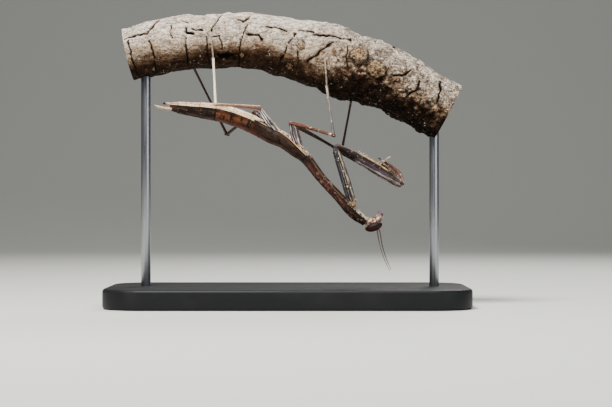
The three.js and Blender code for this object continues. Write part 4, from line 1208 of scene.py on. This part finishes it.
def makeLegs():
    claws = startMesh()
    pale = thornMaterial("paleSpine", "b8a084", "2c1a12")
    dark = thornMaterial("darkSpine", "5a4238", "140c0a")
    nearFore = [
        limbMaterial("nearForeCoxa", 15, [(0, "b8946e"), (0.1, "8f765f"), (0.2, "4e474b"), (0.6, "3f3c45"),
                                          (0.9, "46414a"), (1, "2a2327")], "16111a", "e8d4aa",
                     (0.75, 1.0, 0.7), [(0.8, 0.05, 0.15, 1, "5e6872", 0.7),
                                        (0.87, 0.025, 0.1, 1, "0f0b12", 0.9),
                                        (0.93, 0.016, 0.15, 1, "9a8e80", 0.7),
                                        (0.99, 0.02, 0.1, 0.95, "16101a", 0.85),
                                        (0.05, 0.02, 0.2, 0.9, "b8a488", 0.7),
                                        (0.12, 0.015, 0.1, 0.9, "a08c6c", 0.6),
                                        (0.2, 0.05, 0.1, 1, "2e343d", 0.8)], 18.0, (0.36, 0.3)),
        limbMaterial("nearForeFemur", 19, [(0, "4a382f"), (0.15, "2c1f1a"), (0.5, "35261f"), (0.8, "4a3c37"),
                                           (1, "a08e88")], "120b09", "c8b08a", (0.65, 0.75, 0.8),
                     [(0.8, 0.06, 0, 0.7, "80645a", 0.75), (0.86, 0.02, 0.36, 0.7, "bc9868", 0.75),
                      (0.94, 0.03, 0.1, 1, "100a08", 0.75), (0.08, 0.05, 0.3, 1, "4a4050", 0.7),
                      (0.14, 0.14, 0.05, 0.34, "060405", 0.95), (0.17, 0.045, 0.62, 1, "d8ccc8", 0.9),
                      (0.25, 0.08, 0.34, 1, "c0b4b4", 0.95)], 17.0, (0.3, 0.3)),
        limbMaterial("nearForeTibia", 8, [(0, "c0a298"), (0.3, "7d5e54"), (0.8, "573a2e"), (1, "3c271f")],
                     "1f1310", "dcc4a0", (0.6, 0.8, 0.6), [(0.25, 0.08, 0, 1, "b59a86", 0.6)]),
        limbMaterial("nearForeTarsus", 4.5, [(0, "b8a694"), (0.6, "dccdb8"), (1, "c4b29c")], "7d6c5e",
                     "f2e8d8")]
    farFore = [
        limbMaterial("farForeCoxa", 15, [(0, "6b5648"), (0.5, "393236"), (1, "241e22")], "161012", "a08e74"),
        limbMaterial("farForeFemur", 19, [(0, "241915"), (0.4, "3b2b24"), (0.8, "4a3830"), (1, "6b5a50")],
                     "120c0b", "a08462", marks=[(0.64, 0.02, 0.3, 1, "94683a", 0.8),
                                                (0.25, 0.08, 0.35, 1, "b8a8a8", 0.85)]),
        limbMaterial("farForeTibia", 8, [(0, "6b564c"), (1, "3f2b23")], "1c1310", "b59c7a"),
        limbMaterial("farForeTarsus", 4.5, [(0, "7d6c5e"), (1, "4a3d36")], "352a24", "cbbda8")]
    nearMid = [
        limbMaterial("nearMidCoxa", 6, [(0, "9a8c88"), (0.5, "6e6670"), (1, "6b4c42")], "16111a", "ece2d6",
                     (0.8, 0.95, 0.8), [(0.8, 0.045, 0, 1, "dcd4ce", 0.9), (0.88, 0.03, 0, 1, "0c080c", 1.0),
                                        (0.95, 0.03, 0, 0.9, "c8bcc6", 0.9),
                                        (0.03, 0.03, 0, 1, "120c12", 0.95),
                                        (0.11, 0.035, 0.1, 1, "d4c8c4", 0.8)], 20.0, (0.36, 0.36)),
        limbMaterial("nearMidFemur", 15, [(0, "6b574f"), (0.07, "683f34"), (0.5, "633d2e"), (0.84, "6e4838"),
                                          (0.92, "e2cda8"), (0.97, "7a4634"), (1, "4a2018")], "33180f",
                     "ecd6ac", (0.6, 0.6, 0.6), [(0.28, 0.05, 0.05, 0.85, "8a5a4c", 0.75),
                                                 (0.68, 0.1, 0, 1, "26120b", 0.85),
                                                 (0.4, 0.03, 0, 0.9, "34190f", 0.7),
                                                 (0.22, 0.025, 0.5, 0.95, "dcc09a", 0.7)]),
        limbMaterial("nearMidTibia", 12, [(0, "4a3630"), (0.08, "5a5454"), (0.5, "6a615f"), (0.8, "94887c"),
                                          (1, "b5a694")], "332c2e", "dad4c8", (0.65, 0.6, 0.5),
                     [(0.5, 0.05, 0, 0.8, "3a3436", 0.7), (0.38, 0.04, 0, 1, "a8a29c", 0.6)]),
        limbMaterial("nearMidTarsus", 8, [(0, "bcae9a"), (0.5, "c4b5a0"), (1, "86766a")], "6e5f50", "f0e6d4")]
    nearHind = [
        limbMaterial("nearHindCoxa", 8, [(0, "a8968a"), (0.35, "8a7a74"), (0.7, "6e6262"), (1, "7a5a4c")],
                     "140e10", "f2eae0", (0.9, 1.0, 0.95), [(0.82, 0.045, 0.3, 1, "0c070a", 1.0),
                                                            (0.89, 0.03, 0.35, 0.95, "f6f0ec", 1.0),
                                                            (0.95, 0.025, 0.2, 1, "140d10", 0.95),
                                                            (0.01, 0.025, 0, 0.9, "d8ccd0", 0.9),
                                                            (0.07, 0.025, 0.1, 0.9, "241a1e", 0.9),
                                                            (0.14, 0.03, 0, 1, "dcccb8", 0.8)], 22.0,
                     (0.42, 0.42)),
        limbMaterial("nearHindFemur", 17, [(0, "8a6252"), (0.4, "9c7260"), (0.8, "a87e66"), (1, "c4a88c")],
                     "5a382c", "eedcb8", (0.5, 0.7, 0.4), [(0.25, 0.08, 0, 1, "e6d0ac", 0.85),
                                                           (0.7, 0.07, 0, 1, "7a4c3c", 0.7)]),
        limbMaterial("nearHindTibia", 15, [(0, "b08e74"), (0.05, "dccfb8"), (0.5, "e2d8c4"), (1, "c9b8a0")],
                     "94806a", "f8f2e4", (0.4, 0.5, 0.3), [(0.6, 0.06, 0, 1, "a8947c", 0.6)]),
        limbMaterial("nearHindTarsus", 9.5, [(0, "c4b39c"), (0.5, "bcaa92"), (1, "7d6e5e")], "7d6c58",
                     "f0e6d2")]
    farBrown = [limbMaterial("farCoxa", 7, [(0, "8f7f78"), (0.5, "6b5d5c"), (1, "5a4438")], "1c1416",
                             "c8b8a8", (0.8, 0.8, 0.7), [(0.08, 0.05, 0, 1, "171014", 0.9),
                                                         (0.95, 0.035, 0, 1, "c4b4b8", 0.8),
                                                         (0.85, 0.04, 0, 1, "1c1418", 0.9)], 18.0,
                             (0.36, 0.36))]
    farBrown += [limbMaterial("far" + part, long, [(0, "46301f"), (0.5, "35241a"), (1, "44301f")], "170f0a",
                              "7a6248")
                 for part, long in (("Femur", 15), ("Tibia", 14), ("Tarsus", 9))]
    makeForeleg("left", nearFore + [pale], claws)
    makeForeleg("right", farFore + [pale], claws)
    makeWalkingLeg("midleg_left", nearMid + [pale], claws)
    makeWalkingLeg("hindleg_left", nearHind + [pale], claws)
    makeWalkingLeg("midleg_right", farBrown + [dark], claws)
    makeWalkingLeg("hindleg_right", farBrown + [dark], claws)
    finishPiece("legClaws", claws, [thornMaterial("clawHorn", "8f6c50", "1c100b")], ())


makeLegs()
print("the legs are made")


def makeCerci():
    material = limbMaterial("cercusCuticle", 5, [(0, "c9a890"), (0.5, "d9c2a4"), (1, "b08d74")], "6b4a38",
                            "f2e4cc")
    for name, y, spread in (("left", -0.6, -0.65), ("right", 0.5, 0.75)):
        path = [(-28.9, y, 49.2), (-31.6, y + spread * 0.5, 49.5), (-33.3, y + spread, 50.1)]
        bm = startMesh()
        # nine bead-like segments that taper to a blunt tip
        limb(bm, path, [(0.38, 0.38), (0.42, 0.38), (0.16, 0.16)], 110, 24, 0, caps=(0.03, 0.05),
             shape=lambda along, around: 0.05 * abs(sin(along * 9 * pi)) ** 0.6 - 0.045)
        for i in range(10):
            share = 0.15 + 0.08 * i
            root = pathPoint(path, share)
            spike(bm, root, root + Vector((-0.35, 0.5 * cos(i * 2.4), 0.5 * sin(i * 2.4))), 0.03, 0, rows=3,
                  sides=5)
        finishPiece("cercus" + name.capitalize(), bm, [material], [f"cercus_{name}"])


makeCerci()


def headSkin(row, around):
    along, wide, deep = curvePoint(head["rings"], row)
    turn = around * 2 * pi
    left, front = cos(turn), sin(turn)
    left, front = copysign(abs(left) ** 0.92, left), copysign(abs(front) ** 0.92, front)
    side = -left * wide
    lift = 0
    if front > 0:
        # sockets of the feelers, the frontal shield with two keels, the clypeus and the grooves between them
        for hand in (-1, 1):
            away = hypot(along - head["antennaAt"][0], side - hand * head["antennaAt"][1])
            lift += 0.12 * hump(away, 0.3, 0.09) - 0.1 * hump(away, 0, 0.2)
            lift -= 0.07 * hump(side, hand * 0.95, 0.07) * ease(1.5, 0.8, along)
            lift += 0.05 * hump(side, hand * 0.3, 0.06) * ease(2.3, 2.45, along) * ease(3.05, 2.9, along)
        lift += 0.1 * ease(2.3, 2.45, along) * ease(3.1, 2.95, along) * ease(1.0, 0.8, abs(side))
        lift += 0.08 * ease(3.15, 3.25, along) * ease(3.75, 3.65, along) * ease(0.8, 0.65, abs(side))
        lift -= 0.05 * hump(along, 3.12, 0.05) + 0.04 * hump(side, 0, 0.05) * ease(1.2, 0.7, along)
    else:
        lift += 0.08 * hump(along, 2.9, 0.25) - 0.06 * hump(side, 0, 0.12)
    point = headPoint(along, side, front * deep)
    # a raised collar where the skin meets the eye
    eye = head["eye"]
    for hand in (-1, 1):
        away = point - Vector((eye["centre"][0], hand * eye["centre"][1], eye["centre"][2]))
        away.rotate(Matrix.Rotation(radians(eye["tilt"]), 3, "Y"))
        reach = sqrt(sum((a / b) ** 2 for a, b in zip(away, eye["halves"])))
        lift += 0.05 * hump(reach, 1.08, 0.06)
    lift += 0.02 * noise.fractal(point * 3, 1.0, 2.0, 3)
    close = sqrt(max(1 - (1 - min(row / 0.25, 1)) ** 2, 0)) * sqrt(max(1 - max(row - 5.8, 0) ** 2 / 0.04, 0))
    return headPoint(along, -left * (wide + lift) * close, front * (deep + lift) * close)


def headMaterial():
    material, tree, along, around = startMaterial("headCuticle", 0.45)
    colours = head["colours"]
    front = wave("SINE", around)
    colour = blend(remap(front, -0.1, 0.35), colours["back"], colours["face"])
    for code, size, low, share in (("flesh", 0.7, 0.48, 0.7), ("dark", 0.5, 0.49, 0.85),
                                   ("pale", 0.36, 0.57, 0.65)):
        cloud = patchy(tree, size, low, low + 0.06, 3.0)
        colour = cover(colour, cloud, share, colours[code])
    for centre, halfLong, turn, halfRound, code in head["marks"]:
        for hand in (turn, 0.5 - turn):
            mark = effect(tree, marksGroup, along=along, around=around, place=centre, turn=hand,
                          long=halfLong, round=halfRound)
            colour = cover(colour, mark, 0.8, colours[code])
    flecks = flecky(tree, 0.14, 0.3)
    colour = cover(colour, flecks, 0.6, "2a1714")
    pale = flecky(tree, 0.12, 0.25)
    colour = cover(colour, pale, 0.6, "f0dcc4")
    return dress(material, colour, 0.09, 0.35, sums("SUBTRACT", pale, flecks))


def mouthMaterial():
    material, tree, along, around = startMaterial("mouthCuticle", 0.4, 0.3)
    colour = ramp(along, [(0, "7d5f56"), (0.45, "8a7280"), (0.75, "5e4a50"), (1, "1c1212")])
    streaks = streaky(times(along, 2.0), around, 0.8, 12.0)
    colour = cover(colour, streaks, 0.5, "5a3c40")
    pale = flecky(tree, 0.12, 0.25)
    colour = cover(colour, pale, 0.6, "ecdcd0")
    return dress(material, colour, 0.08, 0.3, pale)


def eyeMaterial():
    material, tree, along, around = startMaterial("eyeLens", 0.5, 0.12)
    height = wave("SINE", around)
    colour = ramp(remap(height, -1.0, 1.0), [(0, "3a1a14"), (0.22, "44201a"), (0.4, "1c0d09"),
                                             (0.75, "100806"), (1, "150a08")])
    stripes = streaky(times(along, 4.0), around, 5.0, 16.0)
    colour = cover(colour, stripes, 0.4, "1c0d0c")
    colour = blend(remap(along, 0.1, 0.03), colour, "4e382c")
    colour = blend(remap(along, 0.75, 0.85), colour, "050304")
    place = addNode(tree, "TexCoord").outputs["Object"]
    facets = addNode(tree, "TexVoronoi", {"Vector": place, "Scale": 11000.0}).outputs["Distance"]
    return dress(material, colour, 1.5, 0.12, times(facets, -1.5))


def feelerMaterial():
    material, _, along, _ = startMaterial("feelerCuticle", 0.5)
    beads = sums("SINE", times(along, 230.0))
    colour = ramp(along, [(0, "6a5040"), (0.12, "4a3a30"), (1, "2f2a22")])
    colour = blend(remap(beads, 0.2, 0.9, 0.0, 0.6), colour, "a08c70")
    return dress(material, colour, 0.08, 0.2, beads)


def headPath(*places):
    return [headPoint(*place) for place in places]


def makeHead():
    bm = startMesh()
    rollUp(bm, [i * 0.06 for i in range(101)], 120, headSkin, 0, (0, 6))
    for along, side in ((1.45, 0), (1.72, -0.27), (1.72, 0.27)):
        ball(bm, headPoint(along, side, 1.3), (0.14, 0.13, 0.12), 0, 1, 10, 14)  # the three simple eyes
    finishPiece("headSkin", bm, [headMaterial(), eyeMaterial()], ["head"])

    bm = startMesh()
    lip = headPath((4.0, 0, 0.55), (4.6, 0, 0.5), (5.3, 0, 0.25))
    limb(bm, lip, [(0.62, 0.2), (0.66, 0.24), (0.34, 0.12)], 24, 28, 1, (0, 0, 1), caps=(0.05, 0.3))
    for hand in (-1, 1):
        jaw = headPath((3.6, hand * 0.75, 0.15), (4.5, hand * 0.68, 0.12), (5.25, hand * 0.16, 0.0))
        limb(bm, jaw, [(0.3, 0.42), (0.32, 0.4), (0.1, 0.14)], 26, 22, 0, (0, 0, 1), caps=(0.05, 0.1))
        galea = headPath((4.2, hand * 0.45, -0.25), (5.0, hand * 0.4, -0.3), (5.6, hand * 0.2, -0.2))
        limb(bm, galea, [(0.2, 0.26), (0.22, 0.28), (0.1, 0.12)], 20, 18, 0, (0, 0, 1), caps=(0.05, 0.15))
        long = headPath((4.5, hand * 0.5, 0), (5.1, hand * 1.0, -0.5), (5.7, hand * 0.9, -0.9))
        short = headPath((4.6, hand * 0.25, 0), (4.9, hand * 0.35, -0.9), (5.0, hand * 0.3, -1.5))
        for path, count in ((long, 5), (short, 3)):
            for i in range(count):
                bit = [pathPoint(path, (i + share) / count) for share in (0, 0.5, 1)]
                limb(bm, bit, [(0.13, 0.13), (0.17, 0.17), (0.15, 0.15)], 8, 12, 0, (0, 1, 0),
                     caps=(0.15, 0.2))
    labium = headPath((4.1, 0, -0.5), (4.9, 0, -0.55), (5.5, 0, -0.35))
    limb(bm, labium, [(0.5, 0.2), (0.45, 0.22), (0.25, 0.12)], 20, 22, 0, (0, 0, 1), caps=(0.08, 0.25))
    skin = limbMaterial("lipCuticle", 2, [(0, "d9a884"), (0.6, "ecc8a8"), (1, "8a5a4a")], "5a2c28", "f8e8d4")
    finishPiece("mouthParts", bm, [mouthMaterial(), skin], ["mouth"])

    eye, lens = head["eye"], eyeMaterial()
    for side, hand in (("left", -1), ("right", 1)):
        x, y, z = eye["centre"]
        bm = startMesh()
        ball(bm, (x, hand * y, z), eye["halves"], eye["tilt"], 0, 48, 64)
        finishPiece("eye" + side.capitalize(), bm, [lens], [f"eye_{side}"])


def makeAntennae():
    material = feelerMaterial()
    for side, y, spread, lead in (("left", -0.5, -2.1, 0), ("right", 0.5, 3.4, 0.7)):
        path = [(22, y, 20.4), (22.3 + lead, y + spread * 0.2, 18.5), (22.9 + lead, y + spread * 0.5, 15.3),
                (23.9 + lead, y + spread * 0.8, 12), (25.3 + lead, y + spread, 8.8)]
        bm = startMesh()
        limb(bm, path, [(0.16, 0.16), (0.13, 0.13), (0.11, 0.11), (0.09, 0.09), (0.05, 0.05)], 300, 12, 0,
             (0, 1, 0),
             shape=lambda along, around: 0.014 * sin(along * 230), caps=(0.01, 0.01))
        base = pathPoint(path, 0.045)
        way = (pathPoint(path, 0.1) - base).normalized()
        limb(bm, [base - way * 0.2, base + way * 0.35, base + way * 0.75],
             [(0.2, 0.2), (0.24, 0.24), (0.2, 0.2)], 14, 18, 0, (0, 1, 0), caps=(0.08, 0.12))
        finishPiece("feeler" + side.capitalize(), bm, [material], [f"antenna_{side}"])


makeHead()
makeAntennae()
print("the head is made")


def stage():
    bm = startMesh()
    wall, bend, wide = room["wallAt"], room["bend"], room["halfWidth"]
    points = [(room["front"], 0), (wall - bend, 0)]
    for angle in range(6, 91, 6):
        points += [(wall - bend + bend * sin(radians(angle)), bend - bend * cos(radians(angle)))]
    points += [(wall, 900)]
    start = [bm.verts.new((x, *points[0])) for x in (-wide, wide)]
    edge = bm.edges.new(start)
    for y, z in points[1:]:
        made = bmesh.ops.extrude_edge_only(bm, edges=[edge])["geom"]
        edge = [g for g in made if isinstance(g, bmesh.types.BMEdge)][0]
        for vert in edge.verts:
            vert.co = (vert.co.x, y, z)
    for face in bm.faces:
        face.smooth = True
    toMetres(bm)
    material = bpy.data.materials.new("paleFloor")
    material.use_nodes = True
    shader = material.node_tree.nodes["Principled BSDF"]
    shader.inputs["Base Color"].default_value = (*room["colour"], 1)
    shader.inputs["Roughness"].default_value = 0.8
    meshObject("paleFloor", bm, [material])


stage()
